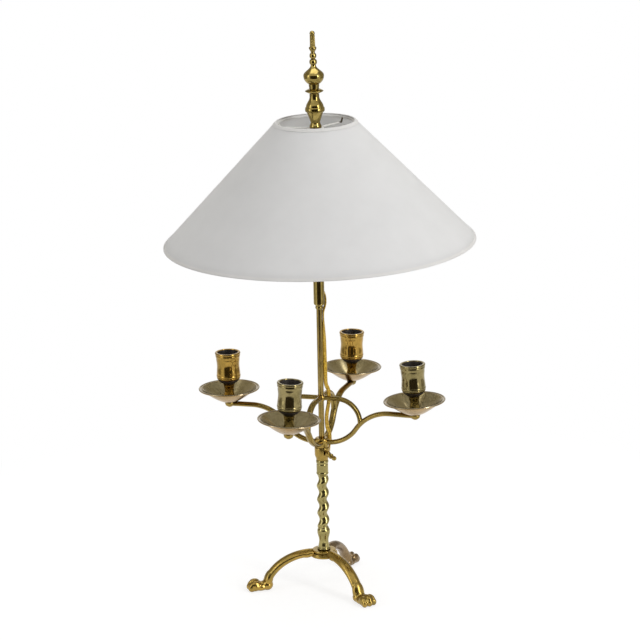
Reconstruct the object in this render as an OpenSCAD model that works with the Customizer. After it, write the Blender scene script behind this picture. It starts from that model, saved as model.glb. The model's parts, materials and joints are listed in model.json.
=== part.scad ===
// Bouillotte lamp: a brass tripod stand with a rope-twisted column and a plain rod. A ring of four
// candle arms slides and turns on the rod, and a coolie shade sits over two lamp holders.
// Millimetres, +Z up, origin on the table under the rod.

/* [Tripod] */
// Number of curved legs
leg_count = 3; // [3:1:4]
// Direction of the first leg, degrees from +X
leg_azimuth = 187; // [0:1:360]
// Thickness of a leg, top to underside
leg_d = 9.6; // [8:0.2:12]
// Width of a leg, side to side
leg_w = 13.6; // [11:0.2:15]
// Height by which a leg's back stands over the hub at its root
leg_proud = 0.4; // [0:0.1:1]
// Radius where a leg leaves the hub
leg_root_r = 17; // [14:0.5:19]
// Thinning of a leg or arm from one bend to the next
bend_step = 0.05; // [0.04:0.01:0.1]
// Bend radius of the upper stretch of a leg
leg_upper_bend = 64; // [54:1:74]
// Slope at which the upper bend gives way to the lower one
leg_knee = 36; // [28:1:42]
// Bend radius of the lower stretch of a leg
leg_lower_bend = 54; // [46:1:62]
// Slope of the leg at its ankle
leg_ankle = 68; // [60:1:74]
// Radius of a paw's ball
paw_r = 7.1; // [6:0.1:8]
// Distance from the ankle to the middle of the paw
paw_reach = 18; // [14:0.5:20]
// Radius of a toe
toe_r = 4.7; // [3.8:0.1:5.4]
// Spacing of the toes across the paw
toe_gap = 5.4; // [4.4:0.1:6.2]
// Radius of the flat sole
sole_r = 6; // [5:0.1:6.6]
// Height of the hub's underside above the table
hub_z = 40.5; // [36:0.5:52]
// Radius of the hub's rim
hub_r = 17; // [15.4:0.1:20]
// Height of the hub, from its underside to the column's seat
hub_h = 8.5; // [8:0.5:12]
// Height of the hub's plain rim
hub_rim_h = 5.2; // [3.6:0.1:6]
// Radius of the hub's raised ring
hub_ring_r = 14.8; // [12.6:0.1:15.2]

/* [Column] */
// Radius of the ring at the column's foot
foot_ring_r = 8.2; // [7:0.1:9]
// Radius of the neck over the foot
foot_neck_r = 5.9; // [5.6:0.1:7]
// Radius of the bulb under the twist
bulb_r = 8; // [7.4:0.1:9]
// Height of the turned foot, from the hub to the twist
foot_h = 27.5; // [24:0.5:34]
// Radius of the twisted stem's round section
twist_r = 6.3; // [6:0.1:7]
// Offset of that section from the axis, which makes the rope
twist_offset = 1.35; // [0.8:0.05:1.8]
// Height that one turn of the rope takes
twist_pitch = 17.75; // [14:0.05:22]
// Height of the twisted stem
twist_h = 71.5; // [50:0.5:90]
// Direction of the rope's ridge at its foot
twist_phase = 131; // [0:1:360]
// Radius of the plain head over the twist
head_r = 7.3; // [7:0.1:8]
// Height of the plain head
head_h = 13.5; // [11:0.5:16]
// Radius of the bead that carries the clamp
crown_r = 7.8; // [7.4:0.1:8.6]
// Height of that bead
crown_h = 5; // [4:0.1:8]
// Bore through the column for the lead
column_bore_r = 3.6; // [3.4:0.05:4]
// Radius of the threaded spigot under the column
spigot_r = 5; // [4.8:0.1:5.6]
// Thickness of the nut in the hub's underside
nut_h = 4.5; // [3.5:0.5:5.5]
// Width of that nut across its corners
nut_corners = 18; // [15:0.5:20]
// Clearance round the nut in its recess
nut_room = 0.6; // [0.3:0.1:1]
// Depth of the rod's socket in the column's head
rod_socket_h = 9; // [7:0.5:11]

/* [Rod] */
// Radius of the rod
rod_r = 3.6; // [3.4:0.05:4]
// Height of the shade's seat over the column
rod_h = 415.9; // [380:0.1:450]
// Radius of the thread on the rod's tip
tip_r = 2.9; // [2.5:0.05:3.2]
// Length of the threaded tip over the seat
tip_h = 17; // [14:0.5:20]
// Radial clearance of what slides on the rod
slide_fit = 0.06; // [0.03:0.01:0.1]

/* [Clamp] */
// Height of the clamp boss
boss_h = 16.5; // [14:0.5:22]
// Radius of the clamp boss
boss_r = 9.25; // [8.6:0.05:10.5]
// Height of its tapered foot
boss_taper_h = 7.5; // [5:0.5:10]
// Width of the slit in the boss
slit_w = 1; // [0.6:0.1:1.6]
// Height of the slit
slit_h = 9; // [7:0.5:11]
// Direction of the side on which the lead runs down
lead_azimuth = 22; // [15:1:30]
// Direction of the slit
slit_azimuth = -74; // [-90:1:-60]
// Direction of the thumbscrew
screw_azimuth = -56; // [-70:1:-45]
// Angle by which the thumbscrew points down
screw_dip = 9; // [0:1:25]
// Radius of the thumbscrew's shank
screw_r = 2; // [1.6:0.1:2.6]
// Reach of the thumbscrew beyond the boss
screw_reach = 20.5; // [17:0.5:26]

/* [Candle arms] */
// Directions of the four arms
arm_azimuths = [-19.7, 71.2, 165.2, 250.2];
// Distance of each candle beyond the ring's mean radius
arm_offsets = [1.9, 2.9, -2.1, -2.8];
// Thickness of an arm, top to underside
arm_d = 5.8; // [5:0.1:6]
// Width of an arm, side to side
arm_w = 8.4; // [7:0.1:9]
// Mean radius of the candle ring, rod to candle
arm_reach = 119.7; // [110:0.1:130]
// Height of the arms' root over the clamp
arm_root_z = 6.4; // [5:0.1:8]
// Rise of an arm from its root to its eye
arm_rise = 43; // [36:0.1:52]
// Bend radius of an arm's lower curve
arm_lower_bend = 45; // [38:0.5:52]
// Bend radius of an arm's upper curve
arm_upper_bend = 52.8; // [44:0.2:60]
// Height of a bow over the arm's root
bow_h = 56.9; // [50:0.1:62]
// Thickness of a bow, top to underside
bow_d = 5.6; // [4.6:0.1:5.7]
// Width of a bow, side to side
bow_w = 8; // [6.4:0.1:8.3]
// Bend radius of a bow
bow_bend = 28.3; // [24:0.1:31]
// Distance from the rod to the middle of a bow's bend
bow_centre_r = 22; // [19:0.5:24]
// Radius of the lower collar
lower_collar_r = 8.6; // [8:0.1:9.4]
// Height of the lower collar
lower_collar_h = 12; // [10.5:0.5:14]
// Radius of the upper collar
upper_collar_r = 6; // [5.2:0.1:7]
// Height of the upper collar
upper_collar_h = 6.4; // [6:0.1:8]
// Radius of the eye at an arm's end
eye_r = 6.3; // [5.6:0.1:7.4]
// Thickness of that eye
eye_h = 6.3; // [6.2:0.1:7.6]
// Lean of each candle's axis towards +X, degrees, in the arms' order
cup_leans = [-2.6, 1.2, -0.8, 3];

/* [Drip pans] */
// Radius of a pan's rim
pan_r = 37.9; // [34:0.1:42]
// Depth of a pan, from its rim to its seat
pan_h = 17.8; // [14:0.1:21]
// Width of the pan's flat lip
pan_lip = 3.2; // [2:0.1:4.5]
// Thickness of the pan's metal
pan_wall = 1.2; // [0.9:0.05:1.6]
// Radius of the roll at the rim
pan_roll = 0.9; // [0.7:0.05:1.3]
// Radius of the pan's flat seat
pan_seat_r = 7.5; // [6.5:0.1:9]

/* [Candle cups] */
// Outer radius of a cup's mouth
cup_r = 15.8; // [14.5:0.1:17]
// Radius of the candle's bore
candle_r = 12.5; // [11:0.1:12.8]
// Depth of the candle's bore
candle_depth = 30; // [24:0.5:34]
// Height of a cup, from the pan to the mouth
cup_h = 62.3; // [57:0.1:68]
// Thickness of a cup's wall at its waist
cup_wall = 1; // [0.8:0.1:1.6]
// Radius of a cup's foot band
cup_band_r = 15.2; // [14.5:0.1:16]
// Height of the stem under a cup, from the pan
cup_stem_h = 20.5; // [18:0.5:24]
// Thinnest radius of that stem
cup_stem_r = 5.7; // [5.2:0.1:7]
// Radius of the stem's foot
cup_foot_r = 7.7; // [6.6:0.1:9]
// Radius of the screw that holds eye, pan and cup together
cup_screw_r = 2.2; // [1.8:0.1:2.8]
// Radius of that screw's domed head
cup_head_r = 3.2; // [2.9:0.1:5]
// Height of the domed head
cup_head_h = 1.3; // [0.9:0.1:2.4]
// Length of that screw's shank
cup_screw_len = 19; // [16:0.5:21]

/* [Lamp holder] */
// Outer radius of the sleeve on the rod
sleeve_r = 6.7; // [6.4:0.05:7.2]
// Wall of the sleeve
sleeve_wall = 0.5; // [0.4:0.05:0.6]
// Length of the sleeve
sleeve_len = 84.5; // [70:0.5:100]
// Height of the holder body over the column
holder_z = 284.4; // [270:0.1:300]
// Radius of the ferrule under the sleeve
ferrule_r = 5.5; // [5:0.1:6]
// Height of the ferrule
ferrule_h = 6.8; // [5:0.1:9]
// Radius of the holder body
holder_r = 18; // [16:0.5:21]
// Height of the holder body
holder_h = 38; // [34:0.5:44]
// Direction of the first lamp
socket_azimuth = 35; // [0:1:90]
// Angle of a lamp's axis from upright
socket_tilt = 75; // [70:1:80]
// Radius of a socket's shell
socket_r = 16.5; // [16:0.1:18]
// Length of a socket's shell
socket_len = 37; // [32:0.5:42]
// Distance from the rod to a socket's cap
socket_start = 23; // [21:0.5:28]
// Radius of a lamp bulb's glass
bulb_glass_r = 22; // [18:0.5:24]
// Length of the glass beyond its socket
bulb_glass_len = 46; // [40:0.5:50]
// Radius of a switch's spindle
knob_shaft_r = 2.4; // [2:0.1:3]
// Radial clearance of that spindle
knob_fit = 0.1; // [0.05:0.01:0.1]

/* [Shade] */
// Radius of the shade's bottom rim
shade_bottom_r = 190.5; // [170:0.5:210]
// Radius of the shade's top rim
shade_top_r = 49; // [44:0.5:56]
// Height of the shade
shade_h = 148.5; // [130:0.5:165]
// Drop from the shade's top rim to its seat
spider_drop = 9.6; // [6:0.1:16]
// Thickness of the shade's cloth on its backing
shade_wall = 1; // [0.7:0.1:1.5]
// Width of the trim tape
trim_w = 4; // [3:0.1:6]
// Thickness of the trim tape
trim_t = 0.5; // [0.3:0.05:0.8]
// Radius of the ring wires
ring_wire_r = 1.4; // [1:0.1:2]
// Radius of the spider's washer
washer_r = 10; // [9:0.1:12]
// Thickness of the spider's washer
washer_h = 1.6; // [1.2:0.1:2.4]
// Number of spider arms
spider_arms = 3; // [3:1:4]
// Direction of the first spider arm
spider_azimuth = 45; // [0:1:120]
// Lean of the shade and finial from upright, degrees
shade_lean = 1.5; // [0:0.1:2]
// Direction of that lean
lean_azimuth = 231; // [0:1:360]

/* [Finial] */
// Radius of the finial's foot
finial_foot_r = 7.4; // [6.6:0.1:9]
// Radius of the belt round the vase
belt_r = 11.9; // [10.4:0.1:13]
// Radius of the neck over the vase
finial_neck_r = 5.9; // [5.2:0.1:6.8]
// Radius of the lens-shaped disc over the vase
disc_r = 11.2; // [9.4:0.1:12.4]
// Half the thickness of that disc at its middle
disc_half = 3; // [2:0.1:3.6]
// Height of the vase, from its foot to the edge of the disc
vase_h = 44.6; // [40:0.1:52]
// Radius of the onion
onion_r = 12.4; // [10.4:0.1:14]
// Radius of the onion's foot
onion_foot_r = 6.4; // [5.6:0.1:7.4]
// Height of the onion
onion_h = 22.8; // [19:0.1:26]
// Height of the neck under the onion
onion_neck_h = 5.4; // [4.4:0.1:7]
// Height of the beaded spire
spire_h = 41.2; // [34:0.1:47]
// Number of reeds on the spire's shaft
reed_count = 10; // [8:1:14]

/* [Hidden] */
$fn = 48;
eps = 0.01;

// heights of the stand
hub_top = hub_z + hub_h;
twist_z = hub_top + foot_h;
head_z = twist_z + twist_h;
crown_z = head_z + head_h;
column_top = crown_z + crown_h;
spigot_z = hub_z - 1.5;
rod_z = column_top - rod_socket_h;
seat_z = column_top + rod_h;
slide_r = rod_r + slide_fit;

// a leg's centre line: two tangent bends from the hub to the ankle
leg_z = hub_top + leg_proud - leg_d/2;
knee_r = leg_root_r + leg_upper_bend*sin(leg_knee);
knee_z = leg_z - leg_upper_bend*(1 - cos(leg_knee));
ankle_r = knee_r + leg_lower_bend*(sin(leg_ankle) - sin(leg_knee));
ankle_z = knee_z - leg_lower_bend*(cos(leg_knee) - cos(leg_ankle));
paw_centre_r = ankle_r + paw_reach;

// the candle arms: two tangent bends and a straight run to the eye
boss_top = column_top + boss_h;
root_z = boss_top + arm_root_z;
arm_z = root_z + arm_rise;
arm_turn = acos(1 - arm_rise/(arm_lower_bend + arm_upper_bend));
arm_root_r = lower_collar_r - 1;
arm_flat_r = arm_root_r + (arm_lower_bend + arm_upper_bend)*sin(arm_turn);
bow_z = root_z + bow_h;

// a bow ends where its bend's centre line meets that of its arm's upper bend
bow_to_arm = [arm_flat_r - bow_centre_r, arm_z - arm_upper_bend - bow_z + bow_bend];
bow_span = norm(bow_to_arm);
bow_end = -atan2(bow_to_arm[1], bow_to_arm[0])
    - acos((bow_span*bow_span + bow_bend*bow_bend - arm_upper_bend*arm_upper_bend)/(2*bow_span*bow_bend));
cup_waist_r = candle_r + cup_wall;
seat_top = eye_h/2;
pan_floor = seat_top + pan_wall;

// the clamp's thumbscrew
screw_z = boss_top - slit_h/2;
screw_tip = rod_r/cos(screw_dip) + screw_r*tan(screw_dip) + 0.5;

// the lamp holder
holder_bottom = column_top + holder_z;
sleeve_bore_r = sleeve_r - sleeve_wall;
sleeve_foot = holder_bottom - sleeve_len;
spigot_len = 4;
slot_w = 6.2;
slot_h = 16;
socket_z = holder_bottom + holder_h/2;
nipple_r = 4.9;
nipple_bore = 3;
cap_h = 15;
cap_wall = 0.8;
socket_mouth = socket_start + cap_h + socket_len - 4;
knob_x = socket_start + cap_h + 9;
core_r = socket_r - 2.2;
screw_shell_r = 13.6;
bulb_base_r = 12.8;
grub_z = holder_bottom - 14;

// the shade's cone
slope_r = (shade_bottom_r - shade_top_r)/shade_h;
slope_angle = atan(slope_r);
shade_top_z = seat_z + spider_drop;
shade_bottom_z = shade_top_z - shade_h;
skin_across = shade_wall/cos(slope_angle);
trim_across = trim_t/cos(slope_angle);
hem_h = trim_w*cos(slope_angle);
ring_inset = skin_across + ring_wire_r/cos(slope_angle) + 0.05;
top_ring_r = shade_top_r + 3*slope_r - trim_across - ring_inset;
top_ring_z = shade_top_z - 3;
bottom_ring_r = shade_bottom_r - 3*slope_r - trim_across - ring_inset;
bottom_ring_z = shade_bottom_z + 3;
finial_z = seat_z + washer_h;

// the lead: an oval section, and its entry into the column through a slanting slot
lead_w = 5.2;
lead_t = 2.5;
lead_sides = 10;
lead_steps = 2;
lead_room = 0.35;
entry_z = (head_z + crown_z)/2 - 0.5;
entry_azimuth = 80;
collar_z = (bow_z - upper_collar_h + boss_top + lower_collar_h)/2;

// the lead's route from the holder to the hub: radius, direction, height, turn of its flat side
lead_route = [
    [rod_r + 1.3, lead_azimuth, holder_bottom + 1, 0],
    [rod_r + 1.3, lead_azimuth, holder_bottom - sleeve_len*0.3, 0],
    [rod_r + 1.3, lead_azimuth, sleeve_foot + 34, 0],
    [rod_r + 1.3, lead_azimuth, sleeve_foot + 23, 0],
    [rod_r + 2, lead_azimuth, sleeve_foot + 15.6, 0],
    [sleeve_r + 1, lead_azimuth, sleeve_foot + 8.6, 0],
    [sleeve_r + 1.8, lead_azimuth, sleeve_foot + 0.6, 0],
    [ferrule_r + 2.3, lead_azimuth, sleeve_foot - 8.4, 0],
    [rod_r + 2.4, lead_azimuth, sleeve_foot - 17.4, 0],
    [rod_r + 1.5, lead_azimuth, sleeve_foot - 27, 0],
    [rod_r + 1.5, lead_azimuth, (2*sleeve_foot + bow_z)/3 - 10, 5],
    [rod_r + 1.8, lead_azimuth, (sleeve_foot + 2*bow_z)/3 + 8, 20],
    [rod_r + 2.6, lead_azimuth + 1, bow_z + 32, 35],
    [rod_r + 4, lead_azimuth + 2, bow_z + 19, 60],
    [upper_collar_r + 4.2, lead_azimuth + 3, bow_z + 8.5, 80],
    [upper_collar_r + 5, lead_azimuth + 3, bow_z, 90],
    [upper_collar_r + 4.2, lead_azimuth + 3, bow_z - 8.5, 88],
    [rod_r + 3.8, lead_azimuth + 3, collar_z + 5, 86],
    [rod_r + 4, lead_azimuth + 3, collar_z - 9, 86],
    [lower_collar_r + 1.9, lead_azimuth + 4, boss_top + lower_collar_h + 5, 84],
    [lower_collar_r + 2.8, lead_azimuth + 5, boss_top + lower_collar_h - 3.5, 76],
    [lower_collar_r + 2.9, lead_azimuth + 7, boss_top + 1.5, 52],
    [boss_r + 2, lead_azimuth + 17, boss_top - 5.5, 16],
    [boss_r + 1.9, lead_azimuth + 32, boss_top - 11, 0],
    [boss_r + 1.5, lead_azimuth + 46, column_top + 0.5, 0],
    [crown_r + 1.7, entry_azimuth - 3, crown_z - 0.5, 0],
    [head_r + 2, entry_azimuth, entry_z + 2.4, 0],
    [head_r, entry_azimuth, entry_z, 0],
    [column_bore_r, entry_azimuth, entry_z - head_r + column_bore_r, 0],
    [1.2, entry_azimuth, entry_z - head_r - 1, 0],
    [0, entry_azimuth, entry_z - head_r - 9, 0],
    [0, entry_azimuth, entry_z - head_r - 20, 0],
    [0, entry_azimuth, (twist_z + entry_z)/2 - 10, 0],
    [0, entry_azimuth, hub_top + 6, 0],
    [0, entry_azimuth, spigot_z, 0]];

// ---- outlines of turned work: points [radius, height] ----

// a round moulding from z0 to z1 on radius r that stands out by h, or a hollow where h is negative
function bead(r, z0, z1, h, n = 8) =
    [for (i = [0:n]) [r + h*sin(180*i/n), z0 + (z1 - z0)*(1 - cos(180*i/n))/2]];

// a smooth double curve from one radius and height to another
function ogee(r0, z0, r1, z1, n = 8) =
    [for (i = [0:n]) [r0 + (r1 - r0)*(1 - cos(180*i/n))/2, z0 + (z1 - z0)*i/n]];

// a quarter curve that starts upright and ends level (full) or the other way round
function swell(r0, z0, r1, z1, n = 8) =
    [for (i = [0:n]) [r1 + (r0 - r1)*cos(90*i/n), z0 + (z1 - z0)*sin(90*i/n)]];
function flare(r0, z0, r1, z1, n = 8) =
    [for (i = [0:n]) [r0 + (r1 - r0)*sin(90*i/n), z1 + (z0 - z1)*cos(90*i/n)]];

// a solid turned from its outline, closed along the axis
module turned(outline, bottom, top) {
    rotate_extrude() polygon(concat([[0, bottom]], outline, [[0, top]]));
}

// an oval rod, t thick and w wide, bent in the upright plane through +X, from angle a about (cx, cz)
module bend(cx, cz, bend_r, a, sweep, t, w) {
    translate([cx, 0, cz]) rotate([90, 0, 0]) rotate([0, 0, a])
        rotate_extrude(angle = sweep) translate([bend_r, 0]) scale([t/w, 1]) circle(w/2);
}

// a straight oval rod from radius r0 to r1 along +X at height z
module level_rod(r0, r1, z, t, w) {
    translate([r0, 0, z]) rotate([0, 90, 0]) linear_extrude(height = r1 - r0) scale([t/w, 1]) circle(w/2);
}

// the shade and finial lean together about the shade's seat
module leaned() {
    translate([0, 0, seat_z]) rotate([0, 0, lean_azimuth]) rotate([0, shade_lean, 0])
        rotate([0, 0, -lean_azimuth]) translate([0, 0, -seat_z]) children();
}

// ---- tripod ----

module hub_outline() {
    turned(concat([[hub_r - 1, hub_z]], bead(hub_r - 0.8, hub_z, hub_z + hub_rim_h, 0.8),
        [[hub_ring_r - 0.6, hub_z + hub_rim_h]],
        bead(hub_ring_r - 0.8, hub_z + hub_rim_h + 0.3, hub_top, 0.8)), hub_z, hub_top);
}

module tripod_hub() {
    color("#A08640") difference() {
        hub_outline();
        translate([0, 0, hub_z - 1]) cylinder(h = hub_h + 2, r = spigot_r);
        translate([0, 0, hub_z - 1]) cylinder(h = nut_h + 1, r = nut_corners/2 + nut_room);
    }
}

// one leg along +X: two bends, a sloping ankle and a three-toed paw on a flat sole
module leg_shape() {
    heel_r = ankle_r + paw_reach*0.2;
    heel_z = ankle_z - 2;
    middle_r = paw_centre_r - paw_reach/2;
    difference() {
        union() {
            level_rod(hub_ring_r - 2, leg_root_r + 1, leg_z, leg_d - bend_step, leg_w - bend_step);
            bend(leg_root_r, leg_z - leg_upper_bend, leg_upper_bend, 90 - leg_knee, leg_knee, leg_d, leg_w);
            bend(knee_r - leg_lower_bend*sin(leg_knee), knee_z - leg_lower_bend*cos(leg_knee),
                leg_lower_bend, 90 - leg_ankle, leg_ankle - leg_knee + 1.5, leg_d - bend_step,
                leg_w - bend_step);
            translate([heel_r, 0, heel_z]) sphere(leg_d/2 + 1.2);
            translate([heel_r, 0, 0]) cylinder(h = heel_z, r = sole_r - 0.6);
            translate([middle_r, 0, paw_r - 0.6]) sphere(paw_r - 0.8);
            translate([middle_r, 0, 0]) cylinder(h = paw_r - 1, r = sole_r - 0.2);
            translate([paw_centre_r, 0, paw_r]) sphere(paw_r - 0.2);
            translate([paw_centre_r, 0, 0]) cylinder(h = paw_r/2, r = sole_r);
            for (k = [-1:1])
                translate([paw_centre_r + paw_r - 4.2 - 1.6*abs(k), k*toe_gap, toe_r]) sphere(toe_r);
        }
        hub_outline();
    }
}

module leg(i) {
    color("#A08640") rotate([0, 0, leg_azimuth + 360/leg_count*i]) leg_shape();
}

module leg_left() {
    leg(0);
}

module leg_front() {
    leg(1);
}

module leg_back() {
    leg(2);
}

module column_nut() {
    color("#8E7A3C") difference() {
        translate([0, 0, hub_z]) cylinder(h = nut_h, d = nut_corners, $fn = 6);
        translate([0, 0, hub_z - 1]) cylinder(h = nut_h + 2, r = spigot_r);
    }
}

module outlet_bush() {
    color("#2B2622") difference() {
        union() {
            translate([0, 0, spigot_z - 1.6]) cylinder(h = 1.6, r = spigot_r);
            translate([0, 0, spigot_z]) cylinder(h = 5, r = column_bore_r);
        }
        translate([0, 0, spigot_z - 2]) cylinder(h = 8, r = lead_w/2 + 0.25);
    }
}

// ---- column and rod ----

module twisted_column() {
    ring_h = 2.6;
    neck_z = hub_top + foot_h*0.42;
    bulb_z = hub_top + foot_h*0.86;
    ridge_r = twist_r + twist_offset + 0.15;
    rope_h = twist_h + 2.6;
    color("#A89C66") difference() {
        union() {
            translate([0, 0, spigot_z]) cylinder(h = hub_top - spigot_z, r = spigot_r);
            turned(concat(bead(foot_ring_r - 1.2, hub_top, hub_top + ring_h, 1.2),
                ogee(foot_ring_r - 1.2, hub_top + ring_h, foot_neck_r, neck_z),
                ogee(foot_neck_r, neck_z, bulb_r, bulb_z), [[bulb_r, twist_z - 1], [ridge_r, twist_z]]),
                hub_top, twist_z);
            translate([0, 0, twist_z - 2]) rotate([0, 0, twist_phase - 720/twist_pitch])
                linear_extrude(height = rope_h, twist = -360*rope_h/twist_pitch, slices = 60)
                translate([twist_offset, 0]) circle(r = twist_r, $fn = 20);
            turned(concat([[ridge_r, head_z], [ridge_r, head_z + 1]],
                ogee(ridge_r, head_z + 1, head_r, head_z + 3, 4), [[head_r, crown_z - 0.8],
                [head_r - 0.7, crown_z]], bead(crown_r - 1.2, crown_z, column_top, 1.2)),
                head_z, column_top);
        }
        translate([0, 0, spigot_z - 1]) cylinder(h = rod_z - spigot_z - 4, r = column_bore_r);
        translate([0, 0, rod_z]) cylinder(h = rod_socket_h + 1, r = rod_r);
        lead_hole();
    }
}

// the slanting slot by which the lead enters the column behind its head
module lead_hole() {
    rotate([0, 0, entry_azimuth]) translate([head_r, 0, entry_z]) rotate([0, -45, 0])
        translate([-head_r - 0.5, -lead_w/2 - lead_room, -lead_t/2 - lead_room])
        cube([2*head_r, lead_w + 2*lead_room, lead_t + 2*lead_room]);
}

module centre_rod() {
    color("#B08F3F") union() {
        translate([0, 0, rod_z]) cylinder(h = seat_z - rod_z - 1, r = rod_r);
        translate([0, 0, seat_z - 1 - eps]) cylinder(h = tip_h + 1, r = tip_r);
    }
}

// ---- clamp ----

// the thumbscrew's own frame: +Z outward along its axis
module screw_frame() {
    rotate([0, 0, screw_azimuth]) translate([0, 0, screw_z]) rotate([0, 90 + screw_dip, 0]) children();
}

module clamp_boss() {
    color("#B4954A") difference() {
        turned(concat([[crown_r - 0.6, column_top]],
            ogee(crown_r - 0.4, column_top, boss_r, column_top + boss_taper_h),
            [[boss_r, boss_top - 1]], swell(boss_r, boss_top - 1, boss_r - 1, boss_top, 4)),
            column_top, boss_top);
        translate([0, 0, column_top - 1]) cylinder(h = boss_h + 2, r = slide_r);
        rotate([0, 0, slit_azimuth]) translate([0, -slit_w/2, boss_top - slit_h])
            cube([boss_r + 2, slit_w, slit_h + 1]);
        screw_frame() cylinder(h = boss_r + 8, r = screw_r + 0.05);
    }
}

module thumbscrew() {
    out = boss_r + 1.4;
    color("#9C8038") screw_frame() {
        translate([0, 0, screw_tip]) cylinder(h = out + 1 - screw_tip, r = screw_r);
        translate([0, 0, out]) turned(concat(bead(2.6, 0, 5, 1),
            ogee(2.6, 5, 1.9, 7.5, 4), bead(2, 7.5, 11, 1.4), bead(1.7, 11, 12.5, 0.3, 4),
            ogee(1.9, 12.5, 2.9, 15.5, 4), swell(2.9, 15.5, 0.4, screw_reach - 1.4, 6)),
            0, screw_reach - 1.4);
    }
}

// ---- candle ring ----

module lower_collar() {
    color("#8E7A3C") difference() {
        turned(concat([[lower_collar_r, boss_top]],
            [[lower_collar_r, boss_top + lower_collar_h - 2]],
            swell(lower_collar_r, boss_top + lower_collar_h - 2, lower_collar_r - 2.4,
            boss_top + lower_collar_h, 5)), boss_top, boss_top + lower_collar_h);
        translate([0, 0, boss_top - 1]) cylinder(h = lower_collar_h + 2, r = slide_r);
    }
}

module upper_collar_outline() {
    turned(bead(upper_collar_r - 1.2, bow_z - upper_collar_h/2, bow_z + upper_collar_h/2, 1.2),
        bow_z - upper_collar_h/2, bow_z + upper_collar_h/2);
}

module upper_collar() {
    color("#8E7A3C") difference() {
        upper_collar_outline();
        translate([0, 0, bow_z - upper_collar_h]) cylinder(h = 2*upper_collar_h, r = slide_r);
    }
}

// the frame of one candle, at its arm's eye and leaning as the candle does
module candle_frame(i) {
    rotate([0, 0, arm_azimuths[i]]) translate([arm_reach + arm_offsets[i], 0, arm_z])
        rotate([0, 0, -arm_azimuths[i]]) rotate([0, cup_leans[i], 0]) children();
}

module arm_rods(reach) {
    bend(arm_root_r, root_z + arm_lower_bend, arm_lower_bend, -90, arm_turn, arm_d, arm_w);
    bend(arm_flat_r, arm_z - arm_upper_bend, arm_upper_bend, 90, arm_turn + 1, arm_d - bend_step,
        arm_w - bend_step);
    level_rod(arm_flat_r - 1, reach - 1, arm_z, arm_d - 2*bend_step, arm_w - 2*bend_step);
}

module arm(i) {
    color("#A08640") difference() {
        union() {
            rotate([0, 0, arm_azimuths[i]]) arm_rods(arm_reach + arm_offsets[i]);
            candle_frame(i) translate([0, 0, -eye_h/2]) cylinder(h = eye_h, r = eye_r);
        }
        translate([0, 0, boss_top - 1]) cylinder(h = lower_collar_h + 2, r = lower_collar_r);
        candle_frame(i) translate([0, 0, -eye_h]) cylinder(h = 2*eye_h, r = cup_screw_r);
    }
}

module bow(i) {
    color("#A08640") rotate([0, 0, arm_azimuths[i]]) difference() {
        union() {
            level_rod(upper_collar_r - 1.5, bow_centre_r + 1, bow_z, bow_d - bend_step, bow_w - bend_step);
            bend(bow_centre_r, bow_z - bow_bend, bow_bend, -bow_end, 90 + bow_end, bow_d, bow_w);
        }
        arm_rods(arm_reach);
        upper_collar_outline();
    }
}

// a pan: a bowl about its seat, a flat lip and a rolled rim
module pan(i) {
    bowl_r = pan_r - pan_lip;
    rise = pan_h - 1.6;
    run = bowl_r - pan_seat_r;
    curve = (run*run + rise*rise)/(2*rise);
    sweep = asin(run/curve);
    bowl = [for (k = [0:10]) [pan_seat_r + curve*sin(sweep*k/10), curve*(1 - cos(sweep*k/10))]];
    inner = [for (k = [10:-1:0]) [pan_seat_r + (curve - pan_wall)*sin(sweep*k/10),
        curve - (curve - pan_wall)*cos(sweep*k/10)]];
    color("#8A7C58") candle_frame(i) translate([0, 0, seat_top]) difference() {
        union() {
            rotate_extrude() polygon(concat([[0, 0]], bowl,
                [[pan_r - pan_roll, pan_h - pan_roll - 0.6], [pan_r - pan_roll, pan_h - pan_roll + 0.5],
                [bowl_r - 0.4, pan_h - 0.9]], inner, [[0, pan_wall]]));
            translate([0, 0, pan_h - pan_roll]) rotate_extrude() translate([pan_r - pan_roll, 0])
                circle(pan_roll);
        }
        translate([0, 0, -1]) cylinder(h = pan_wall + 2, r = cup_screw_r);
    }
}

// a cup: foot, stem, undercut, banded cup with a waist, groove and rolled mouth
module cup(i) {
    under_z = cup_stem_h + 7;
    lip_z = cup_h - 6;
    waist_z = under_z + 17.5;
    color("#A3904F") candle_frame(i) translate([0, 0, pan_floor]) difference() {
        turned(concat([[cup_foot_r, 0]], bead(cup_foot_r - 0.8, 1.4, 5, 0.8),
            ogee(cup_foot_r - 1, 5.4, cup_stem_r, 12), ogee(cup_stem_r, 14, cup_stem_r + 1, cup_stem_h),
            ogee(cup_stem_r + 1.2, cup_stem_h, cup_band_r - 2.2, under_z - 0.6),
            flare(cup_band_r - 2.2, under_z, cup_band_r - 0.4, under_z + 2.4, 5),
            [[cup_band_r - 0.8, under_z + 2.8]], bead(cup_band_r - 0.3, under_z + 3.2, under_z + 6, 0.3, 6),
            ogee(cup_band_r - 0.3, under_z + 6.4, cup_waist_r, waist_z),
            ogee(cup_waist_r, waist_z + 0.5, cup_waist_r + 1, lip_z - 1.2),
            [[cup_waist_r + 0.7, lip_z - 0.6]], [[cup_waist_r + 0.7, lip_z]],
            bead(cup_r - 0.8, lip_z, lip_z + 2.6, 0.4, 6), bead(cup_r - 0.8, lip_z + 2.6, cup_h, 0.8)),
            0, cup_h);
        translate([0, 0, cup_h - candle_depth]) cylinder(h = candle_depth + 1, r = candle_r);
        translate([0, 0, -1]) cylinder(h = cup_screw_len - eye_h - pan_wall + 1.5, r = cup_screw_r);
    }
}

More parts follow.
